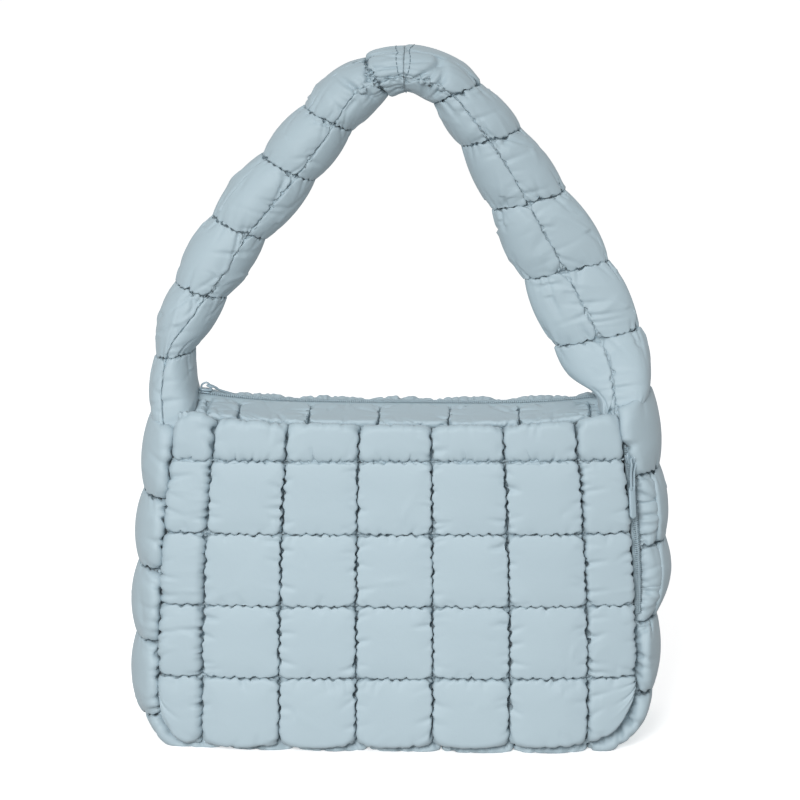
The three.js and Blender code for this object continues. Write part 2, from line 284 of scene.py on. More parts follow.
# Nylon wire, drawn smooth and heat set into loops: a soft gloss along each loop.
ZIP_COIL = PlainFinish("nylon_coil_drawn", "#A0B3BC", 0.8, 0.03, 0.42, ior=1.53)
# Cast zinc with baked lacquer in the cloth's colour: smooth, with bright rims.
SLIDER_LACQUER = PlainFinish("zinc_die_cast_lacquered", "#93A6B0", 1.5, 0.05, 0.3, coat=0.5)
# Braided polyester cord: dull, with a fine slanting braid, drawn coarse enough to show.
PULL_CORD = PlainFinish("polyester_cord_braided", "#97AAB4", 0.7, 0.25, 0.7, stretch=(1.0, 1.6, 0.7))
# Soft vinyl from a polished mould: even and half matt.
PULL_VINYL = PlainFinish("soft_vinyl_moulded", "#9BAFB9", 2.5, 0.04, 0.48)
# Spun polyester thread, pulled tight into the cloth: dull; its colour is partly the thread's own darker blue
# and partly painted shade of the needle holes it sinks into.
THREAD_WITH_PAINTED_HOLE_SHADE = PlainFinish("polyester_thread_spun_painted_hole_shade", "#5E717B", 0.4, 0.08, 0.8)


# Mesh making


@dataclass
class MeshParts:
    """Points in millimetres and faces of a mesh that is being put together.

    Each group of faces has the number of its finish.
    """

    points: list[Array] = field(default_factory=list)
    faces: list[tuple[Array, int]] = field(default_factory=list)
    count: int = 0

    def add(self, points: Array, *faces: Array, finish: int = 0) -> int:
        """Add points with faces that count from the first of them.

        Args:
            points: one row of three for each point.
            faces: arrays of faces, with as many point numbers in a row as a face has corners.
            finish: number of the faces' finish.

        Returns:
            The number of the first point added.
        """
        start = self.count
        self.points.append(np.asarray(points, float).reshape(-1, 3))
        self.count += len(self.points[-1])
        for group in faces:
            self.join(np.asarray(group, int) + start, finish)
        return start

    def join(self, faces: Array, finish: int = 0) -> None:
        """Add faces between points that are there already."""
        self.faces.append((faces, finish))

    def cap(self, rim: Array, tip: Array, turned: bool, finish: int = 0) -> None:
        """Close a ring of points with a fan of triangles.

        Args:
            rim: numbers of the ring's points.
            tip: the point in the middle of the fan.
            turned: whether the fan faces against the ring's own turn.
            finish: number of the fan's finish.
        """
        middle = self.add(tip)
        fan = np.stack([rim, np.roll(rim, -1), np.full(len(rim), middle)], axis=1)
        self.join(fan[:, ::-1] if turned else fan, finish)

    def to_object(self, name: str, *materials: bpy.types.Material) -> bpy.types.Object:
        """Make a smooth shaded Blender object of all that was added.

        Args:
            name: name of the object and its mesh.
            materials: its finishes, in the order of their numbers.

        Returns:
            The new object, linked to the scene.
        """
        points = np.concatenate(self.points) * MM
        corners = np.concatenate([group.ravel() for group, _ in self.faces])
        sizes = np.concatenate([np.full(len(group), group.shape[1]) for group, _ in self.faces])
        finishes = np.concatenate([np.full(len(group), finish) for group, finish in self.faces])
        mesh = bpy.data.meshes.new(name)
        mesh.vertices.add(len(points))
        mesh.vertices.foreach_set("co", points.astype(np.float32).ravel())
        mesh.loops.add(len(corners))
        mesh.loops.foreach_set("vertex_index", corners.astype(np.int32))
        mesh.polygons.add(len(sizes))
        mesh.polygons.foreach_set("loop_start", (np.cumsum(sizes) - sizes).astype(np.int32))
        mesh.polygons.foreach_set("use_smooth", np.ones(len(sizes), bool))
        for material in materials:
            mesh.materials.append(material)
        mesh.polygons.foreach_set("material_index", finishes.astype(np.int32))
        mesh.update(calc_edges=True)
        mesh.validate()
        made = bpy.data.objects.new(name, mesh)
        bpy.context.scene.collection.objects.link(made)
        LOG.info("%s: %d points, %d faces", name, len(points), len(sizes))
        return made


def grid_quads(columns: int, rows: int) -> Array:
    """Quads of a grid whose points run up each column, facing along the cross of the two measures."""
    first = (np.arange(columns - 1)[:, None] * rows + np.arange(rows - 1)[None, :]).ravel()
    return np.stack([first, first + rows, first + rows + 1, first + 1], axis=1)


def ring_quads(rings: int, sides: int, turned: bool = False) -> Array:
    """Quads round a tube whose points run round each ring, one ring after the other.

    Args:
        rings: number of rings.
        sides: points in each ring.
        turned: whether the quads face against the rings' own turn.

    Returns:
        Rows of four point numbers.
    """
    starts = np.arange(rings - 1)[:, None] * sides
    first = (starts + np.arange(sides)).ravel()
    beside = (starts + (np.arange(sides) + 1) % sides).ravel()
    quads = np.stack([first, beside, beside + sides, first + sides], axis=1)
    return quads[:, [0, 3, 2, 1]] if turned else quads


def zipped(one: Array, other: Array, one_at: Array, other_at: Array) -> Array:
    """Triangles between two lines of points with different spacing.

    Args:
        one: point numbers of the first line.
        other: point numbers of the second line.
        one_at: place of each point along the first line.
        other_at: place of each point along the second line.

    Returns:
        Rows of three point numbers.
    """
    i = j = 0
    faces = []
    while i + 1 < len(one) or j + 1 < len(other):
        step_one = j + 1 == len(other) or (i + 1 < len(one) and one_at[i + 1] <= other_at[j + 1])
        if step_one:
            faces.append((one[i], one[i + 1], other[j]))
            i += 1
        else:
            faces.append((one[i], other[j + 1], other[j]))
            j += 1
    return np.array(faces)


def smooth_path(points: Array, steps: int) -> Array:
    """A smooth line through a few points.

    Args:
        points: the points to pass through.
        steps: pieces between one point and the next.

    Returns:
        Points along a uniform Catmull-Rom curve.
    """
    points = np.asarray(points, float)
    knots = np.concatenate([[2 * points[0] - points[1]], points, [2 * points[-1] - points[-2]]])
    share = np.linspace(0, 1, steps, endpoint=False)[:, None]
    runs = []
    for one, two, three, four in zip(knots, knots[1:], knots[2:], knots[3:]):
        rise = (three - one) * share + (2 * one - 5 * two + 4 * three - four) * share ** 2
        runs.append(two + 0.5 * (rise + (3 * two - one - 3 * three + four) * share ** 3))
    return np.concatenate([*runs, points[-1:]])


def tube(
    parts: MeshParts,
    path: Array,
    radius: float,
    sides: int = 8,
    finish: int = 0,
    tip: float = 0.6,
) -> None:
    """Add a round rod with slightly domed ends along a path.

    Args:
        parts: the mesh to add it to.
        path: points along its middle.
        radius: half its thickness.
        sides: corners of its round section.
        finish: number of its finish.
        tip: how far its ends stand out, as a share of the radius.
    """
    path = np.asarray(path, float)
    run = np.gradient(path, axis=0)
    run /= np.linalg.norm(run, axis=1, keepdims=True)
    spare = np.eye(3)[np.argmin(np.abs(run).max(axis=0))]
    side = np.cross(run, spare)
    side /= np.linalg.norm(side, axis=1, keepdims=True)
    other = np.cross(run, side)
    turn = np.linspace(0, 2 * np.pi, sides, endpoint=False)
    ring = np.cos(turn)[None, :, None] * side[:, None] + np.sin(turn)[None, :, None] * other[:, None]
    points = path[:, None] + radius * ring
    start = parts.add(points, ring_quads(len(path), sides), finish=finish)
    for ring_number, way in ((0, -1), (len(path) - 1, 1)):
        rim = start + ring_number * sides + np.arange(sides)
        parts.cap(rim, path[ring_number] + way * run[ring_number] * radius * tip, way < 0, finish)


def stitches(
    parts: MeshParts,
    path: Array,
    finish: int,
    length: float = 2.4,
    gap: float = 1.4,
    thread: float = 0.38,
) -> None:
    """Add a row of stitches along a path on the cloth.

    Args:
        parts: the mesh to add them to.
        path: points that the thread follows.
        finish: number of the thread's finish.
        length: length of one stitch.
        gap: cloth between one stitch and the next.
        thread: half the thread's thickness.
    """
    at = np.concatenate([[0], np.cumsum(np.linalg.norm(np.diff(path, axis=0), axis=1))])
    for start in np.arange(gap, at[-1] - length, length + gap):
        places = start + length * np.array([0.0, 0.5, 1.0])
        points = np.stack([np.interp(places, at, path[:, axis]) for axis in range(3)], axis=1)
        tube(parts, points, thread, sides=5, finish=finish)


# Quilted cloth


@dataclass
class StitchLines:
    """Stitch lines across one measure of a padded piece.

    lines: places of the lines along the measure, the piece's two rims included.
    lean: how far the cloth may lean out over the first and the last rim, for each millimetre of its height.
    fullness: length of cloth for each millimetre of backing, one for all cells or one for each.
    wiggle: how far the gathered lines stray to their sides.
    fade: share of the wiggle that is lost where other lines cross.
    height: how high above the backing the lines are held, one height for all or one for each.
    slack: half the open width between the cells on both sides of a line.
    dome: share of the filling's height that is missing beside the lines, one for all or one for each.
    square: how flat the cells stay before they fall off towards the lines, two for a round cell.
    crease: greatest depth of the creases that start at the lines.
    reach: usual length of these creases.
    spacing: usual distance from one crease to the next.
    """

    lines: Array
    lean: tuple[float, float] = (0.0, 0.0)
    fullness: float | Array = 1.24
    wiggle: float = 1.25
    fade: float = 0.35
    height: float | Array = -1.0
    slack: float = 0.4
    dome: float | Array = 0.2
    square: float = 3.0
    crease: float = 1.0
    reach: float = 7.0
    spacing: float = 5.0

    def stations(self, pitch: float) -> tuple[Array, Array]:
        """Places of grid lines about a pitch apart, and which of them are stitch lines.

        Args:
            pitch: wanted distance between grid lines.

        Returns:
            The places, and the numbers of those on stitch lines.
        """
        places = [self.lines[:1]]
        marks = [0]
        for low, high in zip(self.lines, self.lines[1:]):
            steps = max(4, round((high - low) / pitch))
            places.append(np.linspace(low, high, steps + 1)[1:])
            marks.append(marks[-1] + steps)
        return np.concatenate(places), np.array(marks)


@dataclass(frozen=True)
class Tuck:
    """A gathered stitch line along part of a piece.

    across: its place across the piece.
    start, end: where it starts and ends along the piece.
    height: how high above the backing it is held.
    wiggle: how far it strays to its sides.
    """

    across: float
    start: float
    end: float
    height: float
    wiggle: float = 0.8


@dataclass(frozen=True)
class Crease:
    """A narrow crease that starts at a line, climbs the cell's side there and runs out to a tip.

    line, place: where it starts, across the line and along it.
    side: which side of the line it runs to.
    slant: angle from square to the line, in radians.
    length: how far it runs over the cell's top.
    depth: how deep it is, less than none for a ridge.
    width: half its width.
    climb: length of cloth on the cell's side, where it is deepest.
    """

    line: float
    place: float
    side: int
    slant: float
    length: float
    depth: float
    width: float = 1.4
    climb: float = 0.0

    def press(self, depths: Array, at: Array, beside: Array) -> None:
        """Press the crease into the cloth.

        Args:
            depths: how far the cloth gives at each place, changed in place.
            at: places of the grid across the line.
            beside: places of the grid along the line.
        """
        reach = self.length + self.climb
        ends = sorted((self.line, self.line + self.side * reach))
        across = slice(*np.searchsorted(at, ends))
        along = slice(*np.searchsorted(beside, (self.place - reach, self.place + reach)))
        out = self.side * (at[across] - self.line)[:, None]
        aside = (beside[along] - self.place)[None, :]
        run = out * math.cos(self.slant) + aside * math.sin(self.slant)
        off = aside * math.cos(self.slant) - out * math.sin(self.slant)
        fall = np.clip((reach - run) / self.length, 0, 1)
        depths[across, along] += self.depth * fall * np.exp(-(off / self.width) ** 2)


@dataclass
class QuiltedCloth:
    """Cloth sewn down along stitch lines over filling, in (along, across, height) millimetres.

    The cloth is cut fuller than the backing that it is sewn to. The filling blows it up between the lines,
    and next to them the fullness has nowhere to go, so it gathers into puckers.

    puff: how high the filling stands, and uneven the share by which that differs from cell to cell.
    tucks: gathered lines along parts of the piece.
    crossing: height of the lines where they cross, or none if they don't rise there.
    bends: creases that start at the rows, where the piece is bent.
    folds: number of the longer folds, and fold_depth their greatest depth.
    fold_lengths, fold_slant, fold_width: the folds' least and greatest half, greatest slant and half width.
    crease_lengths, crease_depths, crease_steps: least and most of what the lines' creases have, as shares.
    crease_slant: usual slant of these creases.
    waves: lengths of the zigzags in a gathered seam, each with its share.
    wave_stretch: least and most of what such a length is stretched by.
    stray: share of the zigzag that the thread follows, the rest being cloth that is drawn over it.
    pitch: distance between the places that are worked out.
    pressure, damping, sweeps, steps, quick_steps: how the filling is blown in; quick_steps is not used.
    shear, bend: how stiffly the weave keeps square and flat, and straight how flat it is kept.
    first_fill, first_noise: how full and how uneven the cloth is laid.
    """

    columns: StitchLines
    rows: StitchLines
    puff: float
    seed: int
    tucks: tuple[Tuck, ...] = ()
    crossing: float | None = None
    bends: tuple[Crease, ...] = ()
    folds: int = 0
    fold_depth: float = 0.8
    fold_lengths: tuple[float, float] = (8.0, 24.0)
    fold_slant: float = 1.3
    fold_width: float = 2.0
    crease_lengths: tuple[float, float] = (0.4, 1.8)
    crease_depths: tuple[float, float] = (-0.3, 1.0)
    crease_steps: tuple[float, float] = (0.4, 1.6)
    crease_slant: float = 0.35
    waves: tuple[tuple[float, float], ...] = ((3.6, 0.3), (6.0, 0.9), (13.0, 0.4))
    wave_stretch: tuple[float, float] = (0.7, 1.4)
    stray: float = 0.7
    uneven: float = 0.06
    pitch: float = 1.0
    pressure: float = 0.08
    damping: float = 0.9
    sweeps: int = 2
    steps: int = 240
    quick_steps: int = 60
    shear: float = 0.05
    bend: float = 0.06
    straight: float = 0.97
    first_fill: float = 0.7
    first_noise: float = 0.35

    def __post_init__(self) -> None:
        """Lay the cloth over its stitch lines, slightly blown up."""
        self.along, self.column_marks = self.columns.stations(self.pitch)
        self.across, self.row_marks = self.rows.stations(self.pitch)
        shape = (len(self.along), len(self.across))
        self.place = np.zeros((*shape, 3), np.float32)
        self.place[..., 0] = self.along[:, None]
        self.place[..., 1] = self.across[None, :]
        self.rest = [self.cut_lengths(*measure) for measure in self.measures()]
        self.sewn = np.zeros(shape, bool)
        self.sewn[self.column_marks] = True
        self.sewn[:, self.row_marks] = True
        random = np.random.default_rng(self.seed)
        self.swells = [self.cell_swell(at, marks) for at, _, marks in self.measures()]
        swell = self.swells[0][:, None] * self.swells[1]
        self.top = self.cell_tops(random)
        noise = random.normal(0, self.first_noise, shape) * (swell > 0)
        self.place[..., 2] = self.first_fill * self.top * swell + noise
        self.low, self.high = self.cell_bounds(random)
        self.draw_in()
        for tuck in self.tucks:
            self.sew_tuck(tuck, random)
        self.held = self.place[self.sewn].copy()
        self.crease = self.creases(random)

    def sew_tuck(self, tuck: Tuck, random: np.random.Generator) -> None:
        """Sew one gathered line down.

        Args:
            tuck: the line.
            random: the seeded source of its zigzag.
        """
        row = int(np.argmin(np.abs(self.across - tuck.across)))
        held = (self.along > tuck.start) & (self.along < tuck.end) & ~self.sewn[:, row]
        lines = StitchLines(self.across[[row]], wiggle=tuck.wiggle, fade=0.0)
        wave = self.pucker_wave(random, self.along, lines, np.ones(len(held)))
        self.place[held, row, 1] += wave[held]
        self.place[held, row, 2] = tuck.height
        self.sewn[held, row] = True

    @staticmethod
    def cut_lengths(at: Array, lines: StitchLines, marks: Array) -> Array:
        """Lengths of the cloth between one grid line of a measure and the next."""
        fullness = np.broadcast_to(lines.fullness, len(marks) - 1)
        return (np.diff(at) * np.repeat(fullness, np.diff(marks))).astype(np.float32)

    @staticmethod
    def cell_swell(at: Array, marks: Array) -> Array:
        """How much each place of one measure stands up in its cell.

        Args:
            at: places of the grid lines.
            marks: numbers of those on stitch lines.

        Returns:
            A share for each place, from none on a line to one in the middle of a cell.
        """
        swell = np.zeros(len(at))
        for low, high in zip(marks, marks[1:]):
            share = (at[low:high + 1] - at[low]) / (at[high] - at[low])
            swell[low:high + 1] = np.sqrt(np.maximum(0, 1 - (2 * share - 1) ** 4))
        return swell

    def measures(self) -> tuple[tuple[Array, StitchLines, Array], ...]:
        """Places, stitch lines and the lines' marks of both measures."""
        return (self.along, self.columns, self.column_marks), (self.across, self.rows, self.row_marks)

    def cell_tops(self, random: np.random.Generator) -> Array:
        """How high the filling stands at each place.

        Args:
            random: the seeded source of its unevenness.

        Returns:
            The height, a little different from cell to cell and domed in each.
        """
        cells = [
            np.clip(np.searchsorted(marks, np.arange(len(at)), side="right") - 1, 0, len(marks) - 2)
            for at, _, marks in self.measures()
        ]
        shape = (len(self.column_marks) - 1, len(self.row_marks) - 1)
        uneven = 1 + self.uneven * random.uniform(-1, 1, shape)
        domes = []
        for at, lines, marks in self.measures():
            dome = np.ones(len(at))
            drops = np.broadcast_to(lines.dome, marks.shape)
            for number, (start, end) in enumerate(zip(marks, marks[1:])):
                share = (at[start:end + 1] - at[start]) / (at[end] - at[start])
                drop = np.where(share < 0.5, drops[number], drops[number + 1])
                dome[start:end + 1] = 1 - drop * np.abs(2 * share - 1) ** lines.square
            domes.append(dome)
        tops = self.puff * uneven[np.ix_(*cells)] * np.minimum(domes[0][:, None], domes[1][None, :])
        return tops.astype(np.float32)

    def creases(self, random: np.random.Generator) -> Array:
        """Creases that start at the lines of both measures, and longer folds that lie anywhere.

        Args:
            random: the seeded source of the creases.

        Returns:
            How far the cloth gives at each place.
        """
        depth = np.zeros(self.sewn.shape)
        for axis, (at, lines, marks) in enumerate(self.measures()):
            beside = self.measures()[1 - axis][0]
            sides = self.puff * (1 - np.broadcast_to(lines.dome, marks.shape)) - lines.height
            for line, climb in zip(at[marks], sides / np.mean(lines.fullness)):
                for side in (-1, 1):
                    place = beside[0]
                    while place < beside[-1]:
                        length = lines.reach * random.uniform(*self.crease_lengths)
                        deep = lines.crease * random.uniform(*self.crease_depths)
                        slant = random.normal(0, self.crease_slant)
                        crease = Crease(line, place, side, slant, length, deep, climb=max(0, climb))
                        crease.press(np.moveaxis(depth, axis, 0), at, beside)
                        place += lines.spacing * random.uniform(*self.crease_steps)
        for _ in range(self.folds):
            line, place = (random.uniform(at[0], at[-1]) for at in (self.along, self.across))
            slant = random.uniform(-self.fold_slant, self.fold_slant)
            length = random.uniform(*self.fold_lengths)
            for side in (-1, 1):
                deep = self.fold_depth * random.uniform(-1, 1)
                fold = Crease(line, place, side, side * slant, length, deep, self.fold_width)
                fold.press(depth, self.along, self.across)
        for bend in self.bends:
            bend.press(depth.T, self.across, self.along)
        return depth

    def draw_in(self) -> None:
        """Sew the lines down to their heights, less deep where two of them cross."""
        for axis, (_, lines, marks) in enumerate(self.measures()):
            _, _, crossed = self.measures()[1 - axis]
            near = (1 - self.swells[1 - axis]) ** 2
            near[:crossed[:2].sum() // 2] = 0
            near[crossed[-2:].sum() // 2:] = 0
            heights = np.broadcast_to(lines.height, marks.shape)
            place = np.moveaxis(self.place, axis, 0)
            for mark, height in zip(marks, heights):
                inner = 0 < mark < marks[-1] and self.crossing is not None
                place[mark, :, 2] = height + (self.crossing - height) * near if inner else height

    def pucker_wave(
        self, random: np.random.Generator, at: Array, lines: StitchLines, swell: Array
    ) -> Array:
        """A zigzag like that of a gathered seam.

        Args:
            random: the seeded source of its irregular lengths.
            at: places along the seam.
            lines: the lines that the seam is one of.
            swell: how far each place is from the lines that cross.

        Returns:
            How far the seam strays to its side at each place.
        """
        wave = np.zeros(len(at))
        for length, share in self.waves:
            turns = np.gradient(at) / length * random.uniform(*self.wave_stretch, len(at))
            phase = np.cumsum(turns) + random.uniform()
            wave += share * np.arcsin(np.sin(2 * np.pi * phase)) / (np.pi / 2)
        return wave * lines.wiggle * (1 - lines.fade * (1 - swell))

    def cell_bounds(self, random: np.random.Generator) -> tuple[Array, Array]:
        """Sides of each place's cell, where it presses against the next, with the seams drawn to and fro.

        Args:
            random: the seeded source of the seams' zigzag.

        Returns:
            The lowest and the highest place along both measures.
        """
        low = np.zeros((*self.sewn.shape, 2), np.float32)
        high = np.zeros_like(low)
        for axis, (at, lines, marks) in enumerate(self.measures()):
            beside, swell = self.measures()[1 - axis][0], self.swells[1 - axis]
            lows, highs = np.moveaxis(low, axis, 0)[..., axis], np.moveaxis(high, axis, 0)[..., axis]
            places = np.moveaxis(self.place, axis, 0)[..., axis]
            seams = [at[mark] + self.pucker_wave(random, beside, lines, swell) for mark in marks]
            for number, (start, end) in enumerate(zip(marks, marks[1:])):
                lows[start:end + 1] = seams[number] + lines.slack
                highs[start:end + 1] = seams[number + 1] - lines.slack
            for mark, seam in zip(marks[1:-1], seams[1:-1]):
                places[mark] = (1 - self.stray) * at[mark] + self.stray * seam
        return low, high

    @staticmethod
    def draw(one: Array, other: Array, rest: Array, stiffness: float, push_only: bool = False) -> None:
        """Move pairs of places towards their resting distance, in place.

        Args:
            one: first places of the pairs.
            other: second places of the pairs.
            rest: resting distance of each pair.
            stiffness: share of the error that is taken out.
            push_only: whether only pairs that are too close move.
        """
        apart = other - one
        length = np.sqrt(np.einsum("ijk,ijk->ij", apart, apart)) + 1e-9
        share = 1 - rest / length
        if push_only:
            share = np.minimum(share, 0)
        apart *= (0.5 * stiffness * share)[..., None]
        one += apart
        other -= apart

    @staticmethod
    def neighbours(count: int) -> list[tuple[slice, slice]]:
        """Both ways to take all grid lines in pairs, as the pairs' first and second lines."""
        ends = [(start, start + (count - start) // 2 * 2) for start in (0, 1)]
        return [(slice(start, end, 2), slice(start + 1, end, 2)) for start, end in ends]

    def hold_lengths(self) -> None:
        """Keep the threads at their cut length, the weave square and the cloth from folding sharply."""
        for axis in (0, 1):
            place = np.moveaxis(self.place, axis, 0)
            rest = self.rest[axis]
            for evens, odds in self.neighbours(len(place)):
                self.draw(place[evens], place[odds], rest[evens][:, None], 1.0)
            for start in range(4):
                near = np.arange(start, len(place) - 2, 4)
                one, other = place[near], place[near + 2]
                over_two = self.straight * (rest[near] + rest[near + 1])[:, None]
                self.draw(one, other, over_two, self.bend, True)
                place[near], place[near + 2] = one, other
        diagonal = np.sqrt(self.rest[0][:, None] ** 2 + self.rest[1][None, :] ** 2)
        for evens, odds in self.neighbours(len(self.place)):
            self.draw(self.place[evens, :-1], self.place[odds, 1:], diagonal[evens], self.shear)
            self.draw(self.place[evens, 1:], self.place[odds, :-1], diagonal[evens], self.shear)

    def keep_in_cells(self) -> None:
        """Hold the sewn places down, the filling to its height and each cell between its seams."""
        self.place[self.sewn] = self.held
        height = np.minimum(self.place[..., 2], self.top)
        self.place[..., 2] = height
        for axis, lines, marks in ((0, self.columns, self.column_marks), (1, self.rows, self.row_marks)):
            low, high = self.low[..., axis].copy(), self.high[..., axis].copy()
            rise = np.moveaxis(np.maximum(height, 0), axis, 0)
            np.moveaxis(low, axis, 0)[:marks[1]] -= lines.lean[0] * rise[:marks[1]]
            np.moveaxis(high, axis, 0)[marks[-2]:] += lines.lean[1] * rise[marks[-2]:]
            inside = np.clip(self.place[..., axis], low, high)
            self.place[..., axis] = np.where(self.sewn, self.place[..., axis], inside)

    def outward(self) -> Array:
        """Direction in which the filling presses.

        Returns:
            One direction of length one for each grid place.
        """
        along = np.gradient(self.place, axis=0)
        across = np.gradient(self.place, axis=1)
        out = np.cross(along, across)
        return out / (np.linalg.norm(out, axis=2, keepdims=True) + 1e-9)

    def filled(self) -> Array:
        """Blow the cloth up over its filling.

        Returns:
            Where each grid place comes to rest.
        """
        before = self.place.copy()
        for _ in range(self.steps):
            carried = (self.place - before) * self.damping
            before = self.place.copy()
            self.place += carried + self.pressure * self.outward()
            for _ in range(self.sweeps):
                self.hold_lengths()
                self.keep_in_cells()
        self.place -= np.where(self.sewn, 0, self.crease)[..., None] * self.outward()
        return self.place


# The bag's own form


@dataclass(frozen=True)
class BagForm:
    """Driving sizes of the body, shared by every sewn piece.

    corners: radii of the panels' lower left and lower right corner.
    depth_base, depth_top: distance of the front seam from the middle plane, at the base and at the fold.
    crown, level: how far the panels bulge between their side seams, and how flat that bulge is.
    top_half: half the main opening. The main zip runs past its ends, and its slider stops inside them.
    pocket_low, pocket_high: ends of the pocket's opening. Its zip and its slider lie inside them.
    pocket_reach, pocket_taper: how wide that opening stands, and how quickly it closes to its ends.
    hollow_middle, hollow_half: box that the plain cloth inside shrinks towards.
    """

    half_base: float = 178.0
    half_top: float = 163.0
    bottom: float = 7.0
    corners: tuple[float, float] = (27.0, 44.0)
    base_tilt: float = 0.012
    fold_middle: float = 245.0
    fold_end: float = 254.0
    depth_base: float = 54.0
    depth_top: float = 38.0
    crown: float = 8.0
    level: int = 4
    zip_half_slot: float = 7.0
    zip_middle: float = 254.5
    zip_rise: float = 6.0
    zip_arch: float = 4.0
    top_half: float = 149.3
    main_zip_past: float = 5.0
    main_slider_in: float = 2.0
    pocket_low: float = 99.0
    pocket_high: float = 236.0
    pocket_zip_in: float = 4.0
    pocket_slider_down: float = 14.0
    pocket_reach: float = 5.0
    pocket_taper: float = 0.35
    hollow_middle: tuple[float, float, float] = (0.0, 0.0, 128.0)
    hollow_half: tuple[float, float, float] = (175.0, 50.0, 125.0)
    wall: float = 3.0
    gap: float = 0.3

    def half_width(self, height: Array) -> Array:
        """Half the width between the side seams.

        Args:
            height: heights above the floor.

        Returns:
            Half the width at each height.
        """
        low = self.bottom + np.mean(self.corners)
        up = np.maximum(0, (height - low) / (self.fold_end - low))
        return self.half_base + (self.half_top - self.half_base) * up ** 2

    def bottom_edge(self, across: Array) -> Array:
        """Height of a panel's lower seam.

        Args:
            across: places across the panel, as shares of its half width.

        Returns:
            The height at each place, with the two round corners.
        """
        corner = np.where(across < 0, *self.corners)
        past = np.clip(np.abs(across) * self.half_base - self.half_base + corner, 0, corner)
        tilt = self.base_tilt * self.half_base * across
        return self.bottom + tilt + corner - np.sqrt(corner ** 2 - past ** 2)

    def fold_edge(self, across: Array) -> Array:
        """Height of a panel's upper seam at a share of the half width."""
        return self.fold_middle + (self.fold_end - self.fold_middle) * across ** self.level

    def panel_depth(self, across: Array, height: Array) -> Array:
        """Distance of a panel from the middle plane, before its padding."""
        seam = self.depth_base + (self.depth_top - self.depth_base) * height / self.fold_end
        return seam + self.crown * (1 - across ** self.level)

    def zip_height(self, x: Array) -> Array:
        """Height of the main zip along its length."""
        return self.zip_middle + self.zip_rise * (x / self.top_half) ** self.level

    def pocket_opening(self, height: Array) -> Array:
        """How far the gusset's front edge stands back to make room for the pocket's zip."""
        along = np.clip((height - self.pocket_low) / (self.pocket_high - self.pocket_low), 0, 1)
        return self.pocket_reach * np.maximum(0, np.sin(np.pi * along)) ** self.pocket_taper

    def inside_of(self, points: Array) -> Array:
        """The matching points on the inside of the wall."""
        return points - (points - np.array(self.hollow_middle)) * self.wall / np.array(self.hollow_half)


@dataclass
class PaddedPiece:
    """A padded piece: puffed cloth outside, plain cloth inside, sewn together all round.

    fill: how full it is, as a share; not used.
    inner_step: how many places of the outside lie between two of the inside.
    probe: half the step over which the backing's direction is measured.
    face: face of the bag that it lies on.
    """

    form: BagForm
    node: str
    seed: int
    fill: float = 0.8
    inner_step: int = 8
    probe: float = 0.05
    face: Face = Face.FRONT

    def cloth(self) -> QuiltedCloth:
        """The quilted cloth of the outside."""
        raise NotImplementedError

    def surface(self, along: Array, across: Array) -> Array:
        """Points of the backing that the cloth is sewn to."""
        raise NotImplementedError

    def inside(self, points: Array) -> Array:
        """Points of the plain cloth inside, matching points of the backing."""
        return self.form.inside_of(points)

    def stood_off(self, place: Array) -> Array:
        """Turn places on the cloth into points in the bag's frame.

        Args:
            place: places along, across and above the backing, in the last axis.

        Returns:
            Points in the same layout.
        """
        along, across, height = (place[..., axis].astype(float) for axis in range(3))
        ahead = self.surface(along + self.probe, across) - self.surface(along - self.probe, across)
        aside = self.surface(along, across + self.probe) - self.surface(along, across - self.probe)
        out = np.cross(ahead, aside)
        out /= np.linalg.norm(out, axis=-1, keepdims=True)
        return self.surface(along, across) + out * height[..., None]

    def build(self, material: bpy.types.Material) -> bpy.types.Object:
        """Make the piece as one of the front, put it in the place of its solid and turn it to its own face.

        Args:
            material: the cloth's finish.

        Returns:
            The finished object.
        """
        cloth = self.cloth()
        outer = self.finished(self.stood_off(cloth.filled()))
        picks = [np.unique(np.append(np.arange(0, n, self.inner_step), n - 1)) for n in outer.shape[:2]]
        grid_along, grid_across = np.meshgrid(cloth.along[picks[0]], cloth.across[picks[1]], indexing="ij")
        inner = self.inside(self.surface(grid_along, grid_across))
        parts = MeshParts()
        parts.add(outer, grid_quads(*outer.shape[:2]))
        start = parts.add(inner, grid_quads(*inner.shape[:2])[:, ::-1])
        self.sew_rim(parts, outer.shape[:2], inner.shape[:2], picks, start)
        piece = dressed(parts.to_object(f"{self.node}_quilted", material), self.node)
        if self.face is Face.BACK:
            piece.data.transform(FRONT_TO_BACK)
            piece.data.flip_normals()
        return piece

    def finished(self, points: Array) -> Array:
        """The outside, laid flat where it would sink into the floor."""
        points[..., 2] = np.maximum(points[..., 2], 0)
        return points

    @staticmethod
    def sew_rim(
        parts: MeshParts,
        outer: tuple[int, int],
        inner: tuple[int, int],
        picks: list[Array],
        start: int,
    ) -> None:
        """Close the rim between the outside's fine grid and the inside's coarse one.

        Args:
            parts: the mesh, which holds both grids.
            outer: columns and rows of the outside.
            inner: columns and rows of the inside.
            picks: which of the outside's columns and rows the inside repeats.
            start: number of the inside's first point.
        """
        fine = np.arange(outer[0] * outer[1]).reshape(outer)
        coarse = np.arange(inner[0] * inner[1]).reshape(inner) + start
        counts = [np.arange(n) for n in outer]
        rims = [
            (fine[:, 0], coarse[:, 0], counts[0], picks[0], True),
            (fine[-1], coarse[-1], counts[1], picks[1], True),
            (fine[:, -1], coarse[:, -1], counts[0], picks[0], False),
            (fine[0], coarse[0], counts[1], picks[1], False),
        ]
        for one, other, one_at, other_at, turned in rims:
            faces = zipped(one, other, one_at, other_at)
            parts.join(faces[:, ::-1] if turned else faces)


def dressed(
    piece: bpy.types.Object,
    node: str,
) -> bpy.types.Object:
    """Put a piece in the place of its solid.

    Args:
        piece: the finished piece.
        node: the solid's node, which isn't shown any more.

    Returns:
        The same piece.
    """
    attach(piece, BODY)
    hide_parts(node)
    return piece


